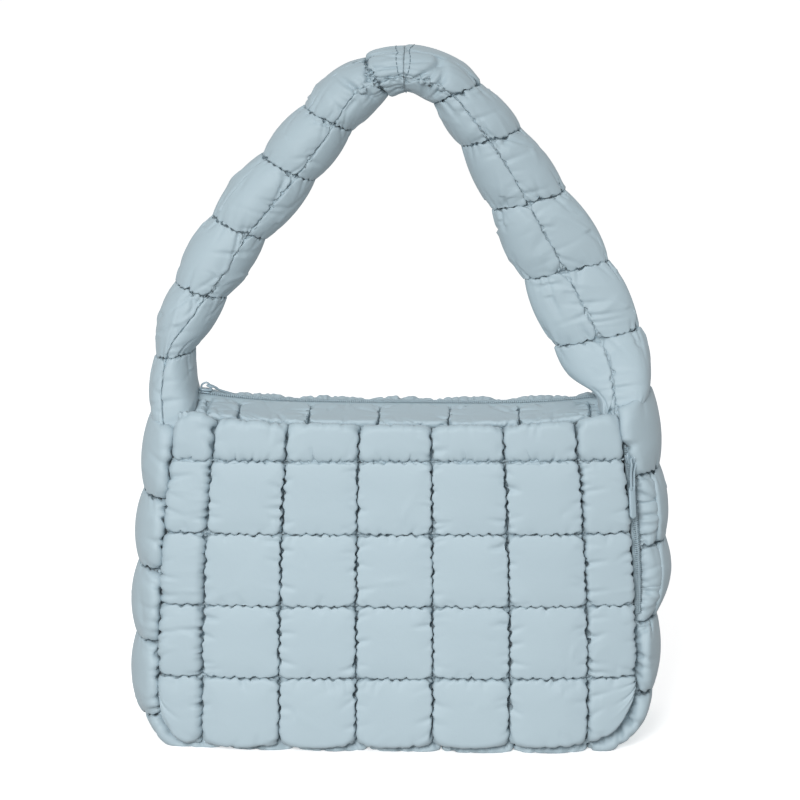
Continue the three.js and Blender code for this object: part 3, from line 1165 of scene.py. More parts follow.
@dataclass
class QuiltedPanel(PaddedPiece):
    """Front or back panel: seven columns by five rows of padded cells.

    column, shift: distance between the column lines, and how far they are off the middle.
    row, first_row, rows: distance between the row lines, height of the lowest and their number.
    The names in height, lean and fullness are those of the stitch lines, for the rims and cells they name.
    """

    column: float = 57.5
    shift: float = -1.6
    columns: int = 3
    row: float = 54.6
    rows: int = 4
    first_row: float = 56.6
    slope: float = 0.0085
    puff: float = 12.0
    side_leans: tuple[float, float] = (0.7, 0.0)
    base_lean: float = 0.6
    fold_lean: float = 0.9
    column_fullness: float = 1.36
    side_fullness: float = 1.48
    row_fullness: float = 1.24
    base_fullness: float = 1.36
    fold_fullness: float = 1.5
    rim_height: float = -1.0
    seam_height: float = -1.0
    row_height: float = 4.0
    top_row_height: float = 7.0
    fold_height: float = 2.0
    crossing: float = 4.0

    def row_lines(self) -> Array:
        """Nominal distances of the row lines from the lower seam, in the middle of the panel."""
        inner = self.first_row + self.row * np.arange(self.rows)
        return np.array([self.form.bottom, *inner, self.form.fold_middle]) - self.form.bottom

    def cloth(self) -> QuiltedCloth:
        """The quilted cloth of the outside.

        Returns:
            The cloth before it is filled.
        """
        edge = self.form.half_base - self.form.gap / 2
        inner = (np.arange(2 * self.columns) - self.columns + 0.5) * self.column + self.shift
        rims = [self.rim_height, *[self.seam_height] * len(inner), self.rim_height]
        columns = StitchLines(
            np.array([-edge, *inner, edge]),
            self.side_leans,
            np.array([self.side_fullness, *[self.column_fullness] * (len(inner) - 1), self.side_fullness]),
            height=np.array(rims),
            slack=0.25,
            dome=0.3,
            crease=2.4,
            reach=8.0,
        )
        middles = self.rows - 1
        upper = (self.top_row_height, self.fold_height)
        rows = StitchLines(
            self.row_lines(),
            (self.base_lean, self.fold_lean),
            np.array([self.base_fullness, *[self.row_fullness] * middles, self.fold_fullness]),
            wiggle=1.6,
            fade=0.9,
            height=np.array([self.rim_height, *[self.row_height] * middles, *upper]),
            slack=0.05,
            dome=0.25,
            crease=1.6,
            reach=6.0,
            spacing=6.0,
        )
        return QuiltedCloth(
            columns, rows, self.puff, self.seed, crossing=self.crossing, folds=60, fold_depth=0.5
        )

    def surface(self, along: Array, across: Array) -> Array:
        """Points of the backing.

        Args:
            along: places across the bag, from its middle to the right.
            across: places up from the lower seam.

        Returns:
            Points of the front's backing, in the layout of the places.
        """
        share = along / self.form.half_base
        lines = self.row_lines()
        cell = np.clip(np.searchsorted(lines, across, side="right") - 1, 0, self.rows)
        part = (across - lines[cell]) / np.diff(lines)[cell]
        stitched = self.first_row + self.row * np.arange(self.rows)
        rise = self.slope * along
        low = np.where(cell == 0, self.form.bottom_edge(share), stitched[np.maximum(cell - 1, 0)] + rise)
        high = stitched[np.minimum(cell, self.rows - 1)] + rise
        high = np.where(cell == self.rows, self.form.fold_edge(share), high)
        height = low + (high - low) * part
        depth = self.form.panel_depth(share, height)
        return np.stack([share * self.form.half_width(height), -depth, height], axis=-1)


@dataclass
class Gusset(PaddedPiece):
    """Band of padded cells round both sides and the base.

    The names in bulge are how far the backing stands out in the middle plane.
    narrow_below: heights between which the right side's bulge grows.
    facing: distance of the gathered line beside the pocket's zip from the front seam.
    facing_height, facing_past: that line's height above the backing, and how far it runs on below the zip.
    """

    cell: float = 54.0
    corners: tuple[float, float] = (23.0, 40.0)
    puff: float = 14.5
    left_bulge: float = 14.0
    right_bulge: float = 18.5
    right_low_bulge: float = 6.5
    narrow_below: tuple[float, float] = (85.0, 135.0)
    base_bulge: float = 2.0
    left_end: float = 242.0
    right_end: float = 261.5
    seam_lean: float = 0.7
    end_lean: float = 0.3
    fullness: float = 1.3
    end_fullness: float = 1.5
    rim_height: float = -1.0
    seam_height: float = 2.0
    facing: float = 17.0
    facing_height: float = 10.5
    facing_past: float = 6.0
    samples: int = 400

    def __post_init__(self) -> None:
        """Trace the seam, from its left end down, along the base and up to its right end."""
        form = self.form
        lows = [form.bottom + corner for corner in self.corners]
        ends = [form.half_base - corner for corner in self.corners]
        share = np.linspace(0, 1, self.samples)
        quarter = share * math.pi / 2
        left = self.bow((-form.half_width(self.left_end), self.left_end), lows[0], share)
        right = self.bow((form.half_width(self.right_end), self.right_end), lows[1], share)
        turn = np.stack([np.sin(quarter), np.cos(quarter)], axis=1)
        first = np.array([-ends[0], lows[0]]) - turn[:, ::-1] * self.corners[0]
        base = np.stack([-ends[0] + sum(ends) * share, np.full(self.samples, form.bottom)], axis=1)
        second = np.array([ends[1], lows[1]]) + turn * np.array([1, -1]) * self.corners[1]
        runs = [left, first[1:], base[1:], second[1:], right[::-1][1:]]
        self.seam = np.concatenate(runs)
        steps = np.linalg.norm(np.diff(self.seam, axis=0), axis=1)
        self.at = np.concatenate([[0], np.cumsum(steps)])
        self.length = self.at[-1]

    def bow(self, end: tuple[float, float], low: float, share: Array) -> Array:
        """One side seam as a curve from its end at the strap to the round corner.

        Args:
            end: place of its end, to the side and up.
            low: height where the round corner starts.
            share: shares of the way down.

        Returns:
            Places to the side and up, one row for each share.
        """
        side = math.copysign(self.form.half_base, end[0])
        knots = np.array([end, (side, (end[1] + low) / 2), (side, low)])
        weights = np.stack([(1 - share) ** 2, 2 * share * (1 - share), share ** 2], axis=1)
        return weights @ knots

    def cloth(self) -> QuiltedCloth:
        """The quilted cloth of the outside.

        Returns:
            The cloth before it is filled.
        """
        cells = round(self.length / self.cell)
        lines = np.arange(cells + 1) * self.length / cells
        lines[0] += self.form.gap / 2
        lines[-1] -= self.form.gap / 2
        edge = self.form.depth_base - self.form.gap / 2
        rows = StitchLines(
            np.array([-edge, edge]), (self.seam_lean, self.seam_lean), self.fullness, crease=2.4, reach=12.0
        )
        columns = StitchLines(
            lines,
            (self.end_lean, self.end_lean),
            np.array([self.end_fullness, *[self.fullness] * (cells - 2), self.end_fullness]),
            height=np.array([self.rim_height, *[self.seam_height] * (cells - 1), self.rim_height]),
            dome=0.6,
            square=2.0,
            crease=2.4,
            reach=12.0,
        )
        below = self.length - (self.right_end - self.form.pocket_low) - self.facing_past
        facing = Tuck(edge - self.facing, below, lines[-2], self.facing_height, 1.0)
        return QuiltedCloth(
            columns, rows, self.puff, self.seed, tucks=(facing,), folds=70, fold_depth=1.2
        )

    @staticmethod
    def bulge_share(forward: Array) -> Array:
        """Share of the bulge at a share of the way from the middle plane to the front or back seam."""
        return 1 - np.abs(forward) ** 3

    def right_side_bulge(self, height: Array) -> Array:
        """How far the right side bulges, less below the pocket's zip, which lets it give above.

        Args:
            height: heights above the floor.

        Returns:
            The bulge in the middle plane at each height.
        """
        low, high = self.narrow_below
        share = np.clip((height - low) / (high - low), 0, 1)
        share = share ** 2 * (3 - 2 * share)
        return self.right_low_bulge + (self.right_bulge - self.right_low_bulge) * share

    def seam_at(self, along: Array) -> Array:
        """Places of the seam to the side and up, in the first axis."""
        return np.stack([np.interp(along, self.at, self.seam[:, k]) for k in (0, 1)])

    def surface(self, along: Array, across: Array) -> Array:
        """Points of the backing.

        Args:
            along: places along the seam, from its left end.
            across: places forward from the middle plane.

        Returns:
            Points in the layout of the places, carried on straight past the seam's ends.
        """
        sewn = np.clip(along, 0, self.length)
        before, after = (self.seam_at(np.clip(sewn + step, 0, self.length)) for step in (-1, 1))
        tangent = after - before
        tangent /= np.linalg.norm(tangent, axis=0)
        x, z = self.seam_at(sewn) + tangent * (along - sewn)
        forward = across / self.form.depth_base
        depth = self.form.panel_depth(np.clip(x / self.form.half_width(z), -1, 1), z)
        reach = np.where((x > 0) & (forward > 0), depth - self.form.pocket_opening(z), depth)
        y = -forward * reach
        side = np.where(x > 0, self.right_side_bulge(z), self.left_bulge)
        bulge = side + (self.base_bulge - side) * np.abs(tangent[0])
        bulge = bulge * self.bulge_share(y / depth)
        return np.stack([x + tangent[1] * bulge, y, z - tangent[0] * bulge], axis=-1)


@dataclass
class TopPanel(PaddedPiece):
    """Narrow quilted panel between the fold and the main zip, in front of it or behind it.

    tab: length of the short cells at its ends.
    cell, stitch: distance between the cross seams, and place of one of them.
    dome: how far the backing stands up between fold and zip, less than none where it sags.
    over: how far it runs on under the strap, at the left and at the right.
    """

    tab: float = 9.0
    cell: float = 52.4
    stitch: float = -14.5
    puff: float = 5.5
    dome: float = -1.5
    over: tuple[float, float] = (3.0, 12.0)
    seam_height: float = -1.0
    width: float = 44.0
    fold_lean: float = 0.9
    zip_lean: float = 0.2
    fold_height: float = 1.0
    zip_height: float = -0.5

    def cloth(self) -> QuiltedCloth:
        """The quilted cloth of the outside.

        Returns:
            The cloth before it is filled.
        """
        left, right = (self.form.top_half + over for over in self.over)
        first = self.stitch - math.floor((self.stitch + left - self.tab) / self.cell) * self.cell
        inner = np.arange(first, right - 2 * self.tab, self.cell)
        lines = np.array([-left, self.tab - left, *inner, right - self.tab, right])
        columns = StitchLines(
            lines, fullness=1.22, wiggle=1.0, height=self.seam_height, crease=1.8, reach=9.0
        )
        rows = StitchLines(
            np.array([0.0, self.width]),
            (self.fold_lean, self.zip_lean),
            fullness=1.12,
            height=np.array([self.fold_height, self.zip_height]),
            crease=2.2,
            reach=14.0,
        )
        return QuiltedCloth(columns, rows, self.puff, self.seed, folds=24, fold_depth=1.2)

    def surface(self, along: Array, across: Array) -> Array:
        """Points of the backing.

        Args:
            along: places along the zip, from its middle to the right.
            across: places back from the fold.

        Returns:
            Points of the front panel's backing, in the layout of the places.
        """
        form = self.form
        share = np.clip(along / form.half_width(form.fold_end), -1, 1)
        fold = form.fold_edge(share)
        back = across / self.width
        front = -form.panel_depth(share, fold)
        y = front + (-form.zip_half_slot - front) * back
        rise = form.zip_height(along) - form.zip_arch - fold
        z = fold + rise * back + self.dome * 4 * back * (1 - back)
        return np.stack([along, y, z], axis=-1)


# Strap


@dataclass(frozen=True)
class StrapRow:
    """One place on the strap, seen from the front.

    x, z: place of its centre line.
    half: half its width there.
    turn: how far its front seam is turned round the centre line, in degrees.
    """

    x: float
    z: float
    half: float
    turn: float


STRAP_ROWS = (
    StrapRow(-169.0, 233.0, 18.0, -10.0),
    StrapRow(-170.0, 252.0, 18.5, -10.0),
    StrapRow(-171.5, 270.0, 17.8, -14.0),
    StrapRow(-169.0, 296.0, 17.5, -12.0),
    StrapRow(-160.4, 320.0, 21.4, 10.0),
    StrapRow(-139.4, 358.0, 24.8, 22.0),
    StrapRow(-115.0, 394.5, 25.2, 22.0),
    StrapRow(-87.0, 428.0, 25.3, 22.0),
    StrapRow(-58.4, 464.0, 23.5, 21.0),
    StrapRow(-28.0, 494.5, 21.0, 2.0),
    StrapRow(4.0, 506.5, 17.6, 14.0),
    StrapRow(33.5, 496.0, 19.5, 2.0),
    StrapRow(58.8, 466.5, 24.0, -2.0),
    StrapRow(81.5, 432.5, 28.6, -2.0),
    StrapRow(101.2, 398.5, 32.2, 0.0),
    StrapRow(121.3, 362.5, 35.2, 0.0),
    StrapRow(138.2, 326.5, 35.8, -2.0),
    StrapRow(155.4, 292.0, 32.8, -2.0),
    StrapRow(166.5, 273.5, 24.0, 8.0),
    StrapRow(169.5, 266.0, 22.0, 10.0),
    StrapRow(171.0, 252.0, 21.5, 10.0),
)

LEFT_SEAMS = (293, 341, 388, 433, 470, 501)
RIGHT_SEAMS = (306, 357, 409, 456, 490)


class Arm(Enum):
    """The strap's two halves, which meet at the crown."""

    LEFT = "strap_left"
    RIGHT = "strap_right"


@dataclass
class StrapLine:
    """The strap's centre line, with everything that changes along it."""

    radius: float = 27.5
    crown_row: int = 10
    samples: int = 60

    def __post_init__(self) -> None:
        """Draw a smooth curve through the rows."""
        knots = np.array([(row.x, row.z, row.half, row.turn) for row in STRAP_ROWS])
        ends = np.concatenate([[2 * knots[0] - knots[1]], knots, [2 * knots[-1] - knots[-2]]])
        spans = np.sqrt(np.linalg.norm(np.diff(ends[:, :2], axis=0), axis=1))
        share = np.linspace(0, 1, self.samples, endpoint=False)[:, None]
        runs = [self.span(ends[k:k + 4], spans[k:k + 3], share) for k in range(len(knots) - 1)]
        self.curve = np.concatenate([*runs, knots[-1:]])
        steps = np.linalg.norm(np.diff(self.curve[:, :2], axis=0), axis=1)
        self.at = np.concatenate([[0], np.cumsum(steps)])
        self.length = self.at[-1]
        self.crown = self.at[self.crown_row * self.samples]

    @staticmethod
    def span(knots: Array, spans: Array, share: Array) -> Array:
        """One stretch of a centripetal curve through four knots, from the second to the third.

        Args:
            knots: the four knots, one in each row.
            spans: the three spans between them.
            share: shares of the way, in a column.

        Returns:
            The curve at these shares, one in each row.
        """
        before, middle, after = spans
        slopes = [np.diff(knots[k:k + 2], axis=0)[0] / spans[k] for k in range(3)]
        start = slopes[0] - (knots[2] - knots[0]) / (before + middle) + slopes[1]
        finish = slopes[1] - (knots[3] - knots[1]) / (middle + after) + slopes[2]
        rise = 3 * share ** 2 - 2 * share ** 3
        leave = (share ** 3 - 2 * share ** 2 + share) * middle * start
        arrive = (share ** 3 - share ** 2) * middle * finish
        return knots[1] * (1 - rise) + knots[2] * rise + leave + arrive

    def column(self, along: Array, number: int) -> Array:
        """One of x, z, half width and turn at places along the strap."""
        return np.interp(along, self.at, self.curve[:, number])


@dataclass
class StrapArm(PaddedPiece):
    """Half of the strap: an outer and an inner padded band sewn edge to edge into a tube.

    seams: heights of its cross seams, from its lower end to the crown.
    end_reach: length of the end that is sewn to the bag.
    end_deep, end_round: half the depth of its section there, and how round that section is.
    end_leans: angles by which the left and the right end face up or down, in degrees.
    taper, closed, tip: length over which an end's outer side closes, closed length and size left there.
    slants, slant_reach: how far the cross seams slant on the two arms, and the length over which that starts.
    cell_dome, end_dome: how far the filling is rounded off beside the cross seams and at the two ends.
    lap, lap_height: distance of the topstitching from the crown, and height of the seam there.
    edge, edge_height: the seam along the outer edge, as a share of the band, and its height.
    gathers, gathers_height: the gathered line on the left arm, in the same way.
    """

    seams: tuple[float, ...] = ()
    line: StrapLine = field(default_factory=StrapLine)
    arm: Arm = Arm.LEFT
    thread: bpy.types.Material | None = None
    puff: float = 10.0
    band: float = 84.0
    end_reach: float = 60.0
    end_deep: float = 40.0
    end_round: float = 0.4
    taper: float = 24.0
    closed: float = 7.0
    tip: float = 0.45
    slants: tuple[float, float] = (4.5, 7.0)
    slant_reach: float = 40.0
    end_leans: tuple[float, float] = (17.0, -7.0)
    cell_dome: float = 0.55
    end_dome: float = 0.05
    seam_height: float = 1.0
    front_height: float = 6.0
    lap_height: float = 9.3
    end_height: float = 8.5
    lap: float = 3.0
    edge: float = 0.4
    edge_height: float = 7.5
    gathers: float = 0.43
    gathers_height: float = 4.0

    def cross_lines(self) -> Array:
        """Places of the cross seams along the strap.

        Returns:
            The places in order, with the half's two ends.
        """
        line, gap = self.line, self.form.gap
        half = line.at < line.crown if self.arm is Arm.LEFT else line.at > line.crown
        order = np.argsort(line.curve[half, 1])
        inner = np.sort(np.interp(self.seams, line.curve[half, 1][order], line.at[half][order]))
        if self.arm is Arm.LEFT:
            return np.array([gap, *inner, line.crown - gap / 2])
        return np.array([line.crown + gap / 2, *inner, line.length - gap])

    def cloth(self) -> QuiltedCloth:
        """The quilted cloth of the two bands.

        Returns:
            The cloth before it is filled.
        """
        lines = self.cross_lines()
        lap = -1 if self.arm is Arm.LEFT else 0
        heights = np.full(len(lines), self.seam_height)
        heights[lap] = self.lap_height
        heights[-1 - lap] = self.end_height
        domes = np.full(len(lines), self.cell_dome)
        domes[[0, -1]] = self.end_dome
        shared = {"fade": 0.3, "slack": 0.1, "reach": 16.0, "spacing": 4.6}
        columns = StitchLines(
            lines, fullness=1.2, wiggle=1.0, height=heights, dome=domes, square=2.0, crease=2.6, **shared
        )
        edges = np.array([0.0, self.band, 2 * self.band])
        rows = StitchLines(
            edges, fullness=1.14, wiggle=0.6, height=self.front_height, crease=2.0, **shared
        )
        return QuiltedCloth(
            columns,
            rows,
            self.puff,
            self.seed,
            tucks=self.edge_seam(lines),
            bends=self.bends(),
            folds=130,
            fold_depth=1.6,
        )

    def bends(self) -> tuple[Crease, ...]:
        """The deep creases where the strap bends, near the crown.

        Returns:
            For each start from the crown, one crease in the outer and one in the inner band.
        """
        starts = (-31.0, -39.0) if self.arm is Arm.LEFT else (10.0, 17.0, 26.0)
        last = 2 * self.band
        creases = []
        for number, start in enumerate(starts):
            place = self.line.crown + start
            turns = (0.25 - 0.3 * number, 0.3 - 0.2 * number)
            creases.append(Crease(0.0, place, 1, turns[0], length=26.0, depth=4.5, width=1.8, climb=10.0))
            creases.append(
                Crease(last, place + 2.0, -1, turns[1], length=18.0, depth=5.0, width=2.0, climb=10.0)
            )
        return tuple(creases)

    def edge_seam(self, lines: Array) -> tuple[Tuck, ...]:
        """The seam along the outer edge, which shows near the crown and down the right arm.

        Args:
            lines: places of the cross seams along the strap.

        Returns:
            That seam, last, after the gathered line on the left arm.
        """
        edge = self.edge * self.band
        if self.arm is Arm.LEFT:
            place = self.gathers * self.band
            gathers = Tuck(place, lines[3], lines[4], self.gathers_height, wiggle=1.6)
            return gathers, Tuck(edge, lines[-3], lines[-1], self.edge_height, wiggle=0.4)
        return (Tuck(edge, lines[0], lines[-2], self.edge_height, wiggle=0.4),)

    def stood_off(self, place: Array) -> Array:
        """Turn places on the cloth into points round the strap's centre line.

        Args:
            place: places along, around and above the tube, in the last axis.

        Returns:
            Points in the same layout.
        """
        along, across, height = (place[..., axis].astype(float) for axis in range(3))
        line = self.line
        along = self.slanted(np.clip(along, 0, line.length), across)
        centre = np.stack([line.column(along, 0), np.zeros_like(along), line.column(along, 1)], axis=-1)
        step = [np.clip(along + d, 0, line.length) for d in (-1, 1)]
        run = np.stack([line.column(step[1], k) - line.column(step[0], k) for k in (0, 1)], axis=-1)
        run /= np.linalg.norm(run, axis=-1, keepdims=True)
        half = line.column(along, 2)
        left = along < line.length / 2
        from_end = np.minimum(along, line.length - along) / self.end_reach
        free = np.clip(from_end, 0, 1)
        free = free ** 2 * (3 - 2 * free)
        lean = np.radians(np.where(left, *self.end_leans))
        sewn = np.stack([np.where(left, -1, 1) * np.cos(lean), -np.sin(lean)], axis=-1)
        turned = np.stack([-run[..., 1], run[..., 0]], axis=-1)
        out = sewn + (turned - sewn) * free[..., None]
        out /= np.linalg.norm(out, axis=-1, keepdims=True)
        deep = self.end_deep + (np.sqrt(2 * line.radius ** 2 - half ** 2) - self.end_deep) * free
        angle = np.pi * across / self.band - np.radians(line.column(along, 3))
        round_off = self.end_round + (1 - self.end_round) * free
        side = np.sign(np.sin(angle)) * np.abs(np.sin(angle)) ** round_off
        front = np.sign(np.cos(angle)) * np.abs(np.cos(angle)) ** round_off
        from_tip = np.minimum(along, line.length - along) - self.closed
        near = 1 - np.clip(from_tip / self.taper, 0, 1)
        closing = np.where(side > 0, self.tip + (1 - self.tip) * np.sqrt(1 - near ** 2), 1)
        size = height - self.puff
        centre[..., 0] += out[..., 0] * (half + size) * side * closing
        centre[..., 2] += out[..., 1] * (half + size) * side * closing
        centre[..., 1] -= (deep + size) * front
        return centre

    def slanted(self, along: Array, across: Array) -> Array:
        """Slide the outer band towards the strap's lower end and the inner one away from it.

        Args:
            along: places along the strap.
            across: places round the tube.

        Returns:
            The places along the strap where the slanting cross seams bring them.
        """
        line = self.line
        angle = np.pi * across / self.band - np.radians(line.column(along, 3))
        from_ends = np.minimum(np.abs(along - line.crown), np.minimum(along, line.length - along))
        slant = np.where(along < line.crown, -self.slants[0], self.slants[1])
        return along + slant * np.sin(angle) * np.clip(from_ends / self.slant_reach, 0, 1)

    def add_stitches(self, parts: MeshParts, cloth: QuiltedCloth, skin: Array) -> None:
        """Add the topstitching beside the crown's lap seam and the seam along the outer edge.

        Args:
            parts: the mesh to add it to.
            cloth: the cloth that it is sewn through.
            skin: the cloth's points in the bag's frame.
        """
        side = -1 if self.arm is Arm.LEFT else 1
        ring = int(np.argmin(np.abs(cloth.along - self.line.crown - side * self.lap)))
        outer = np.flatnonzero((cloth.across > 1) & (cloth.across < 0.9 * self.band))
        stitches(parts, skin[ring, outer], finish=1)
        tuck = cloth.tucks[-1]
        row = int(np.argmin(np.abs(cloth.across - tuck.across)))
        run = (cloth.along > tuck.start) & (cloth.along < tuck.end)
        stitches(parts, skin[run, row], finish=1, length=1.8)

    def build(self, material: bpy.types.Material) -> bpy.types.Object:
        """Make the tube, closed at its two sewn ends.

        Args:
            material: the cloth's finish.

        Returns:
            The finished object.
        """
        cloth = self.cloth()
        skin = self.stood_off(cloth.filled())[:, :-1]
        rings, sides = skin.shape[:2]
        parts = MeshParts()
        parts.add(skin, ring_quads(rings, sides, turned=True))
        for ring, turned in ((0, False), (rings - 1, True)):
            parts.cap(ring * sides + np.arange(sides), skin[ring].mean(axis=0), turned)
        self.add_stitches(parts, cloth, skin)
        made = parts.to_object(f"{self.node}_quilted", material, self.thread)
        return dressed(made, self.node)


# Zips


@dataclass
class CoilZip:
    """A closed zip: two woven tapes, and two rows of wire loops that lie in each other.

    start, end: places along the zip.
    tape, seam_gap: thickness of the tapes, and how far they stay off the edges that they are sewn into.
    arch, lift: how far the middle and the whole of it stand out from these edges.
    loop_rows: (side, up) places of one loop's wire, from the tape over the middle to its tip.
    shares: places across the tapes where they bend.
    """

    form: BagForm
    node: str
    start: float
    end: float
    tape: float = 1.2
    seam_gap: float = 0.3
    arch: float = 4.0
    lift: float = 0.0
    samples: int = 60
    loop_pitch: float = 1.5
    wire: float = 0.42
    loop_rows: tuple[tuple[float, float], ...] = (
        (2.3, 0.1), (2.1, 1.1), (1.0, 1.55), (-0.2, 1.5), (-0.6, 0.7),
    )
    shares: tuple[float, ...] = (0.0, 0.18, 0.36, 0.5, 0.64, 0.82, 1.0)

    def edges(self, place: Array) -> tuple[Array, Array, Array]:
        """The edges that the tapes are sewn into, and the zip's direction."""
        raise NotImplementedError

    def lie(self, place: Array) -> tuple[Array, Array, Array, Array]:
        """How the closed zip lies.

        Args:
            place: places along the zip.

        Returns:
            Its middle, and the directions along, across and outward, at each place.
        """
        one, other, along = self.edges(place)
        across = other - one
        up = np.cross(along, across)
        up /= np.linalg.norm(up, axis=-1, keepdims=True)
        across = across / np.linalg.norm(across, axis=-1, keepdims=True)
        return (one + other) / 2 + (self.arch + self.lift) * up, along, across, up

    def build(self, tape: bpy.types.Material, coil: bpy.types.Material) -> bpy.types.Object:
        """Make the zip in the place of its solid.

        Args:
            tape: finish of the tapes.
            coil: finish of the loops.

        Returns:
            The finished object.
        """
        parts = MeshParts()
        places = np.linspace(self.start, self.end, self.samples)
        one, other, _ = self.edges(places)
        _, _, across, up = self.lie(places)
        one, other = one + across * self.seam_gap, other - across * self.seam_gap
        share = np.array(self.shares)[None, :, None]
        stand = self.lift + self.arch * 4 * share * (1 - share)
        face = one[:, None] * (1 - share) + other[:, None] * share + stand * up[:, None]
        back = face - up[:, None] * self.tape
        count = len(self.shares)
        section = np.concatenate([face, back[:, ::-1]], axis=1)
        sides = 2 * count
        begin = parts.add(section, ring_quads(len(places), sides, turned=True))
        for row, turned in ((0, False), (len(places) - 1, True)):
            rim = begin + row * sides + np.arange(sides)
            over, under = rim[:count], rim[::-1][:count]
            ends = np.stack([over[:-1], over[1:], under[1:], under[:-1]], axis=1)
            parts.join(ends[:, ::-1] if turned else ends)
        self.add_loops(parts)
        made = parts.to_object(f"{self.node}_coil_zip", tape, coil)
        return dressed(made, self.node)

    def add_loops(self, parts: MeshParts) -> None:
        """Add both rows of loops, half a pitch apart.

        Args:
            parts: the mesh to add them to.
        """
        reach = abs(self.end - self.start)
        toward = math.copysign(1, self.end - self.start)
        row = smooth_path(np.array([(side, up, 0) for side, up in self.loop_rows]), 2)
        places = np.arange(self.loop_pitch, reach - self.loop_pitch, self.loop_pitch / 2)
        for number, from_start in enumerate(places):
            middle, _, across, up = self.lie(np.array(self.start + toward * from_start))
            side = 1 if number % 2 else -1
            path = middle + side * row[:, :1] * across + row[:, 1:2] * up
            tube(parts, path, self.wire, sides=6, finish=1)


@dataclass
class MainZip(CoilZip):
    """Zip along the top, between the two top panels."""

    def edges(self, place: Array) -> tuple[Array, Array, Array]:
        """The edges that the tapes are sewn into, and the zip's direction.

        Args:
            place: places along the zip.

        Returns:
            Points of the one edge and of the other, and the direction at each place.
        """
        height = self.form.zip_height(place) - self.arch
        half = np.full_like(height, self.form.zip_half_slot)
        along = np.broadcast_to(np.array([1.0, 0.0, 0.0]), (*np.shape(place), 3))
        return np.stack([place, -half, height], axis=-1), np.stack([place, half, height], axis=-1), along


@dataclass
class PocketZip(CoilZip):
    """Zip of the side pocket, between the front panel's right edge and the gusset."""

    band: Gusset | None = None

    def edges(self, place: Array) -> tuple[Array, Array, Array]:
        """The edges that the tapes are sewn into, and the zip's direction.

        Args:
            place: places along the zip.

        Returns:
            Points of the one edge and of the other, and the direction at each place.
        """
        wide = self.form.half_width(place)
        depth = self.form.panel_depth(np.ones_like(wide), place)
        behind = depth - self.form.pocket_opening(place)
        out = wide + self.band.right_side_bulge(place) * self.band.bulge_share(behind / depth)
        along = np.broadcast_to(np.array([0.0, 0.0, -1.0]), (*np.shape(place), 3))
        return np.stack([wide, -depth, place], axis=-1), np.stack([out, -behind, place], axis=-1), along


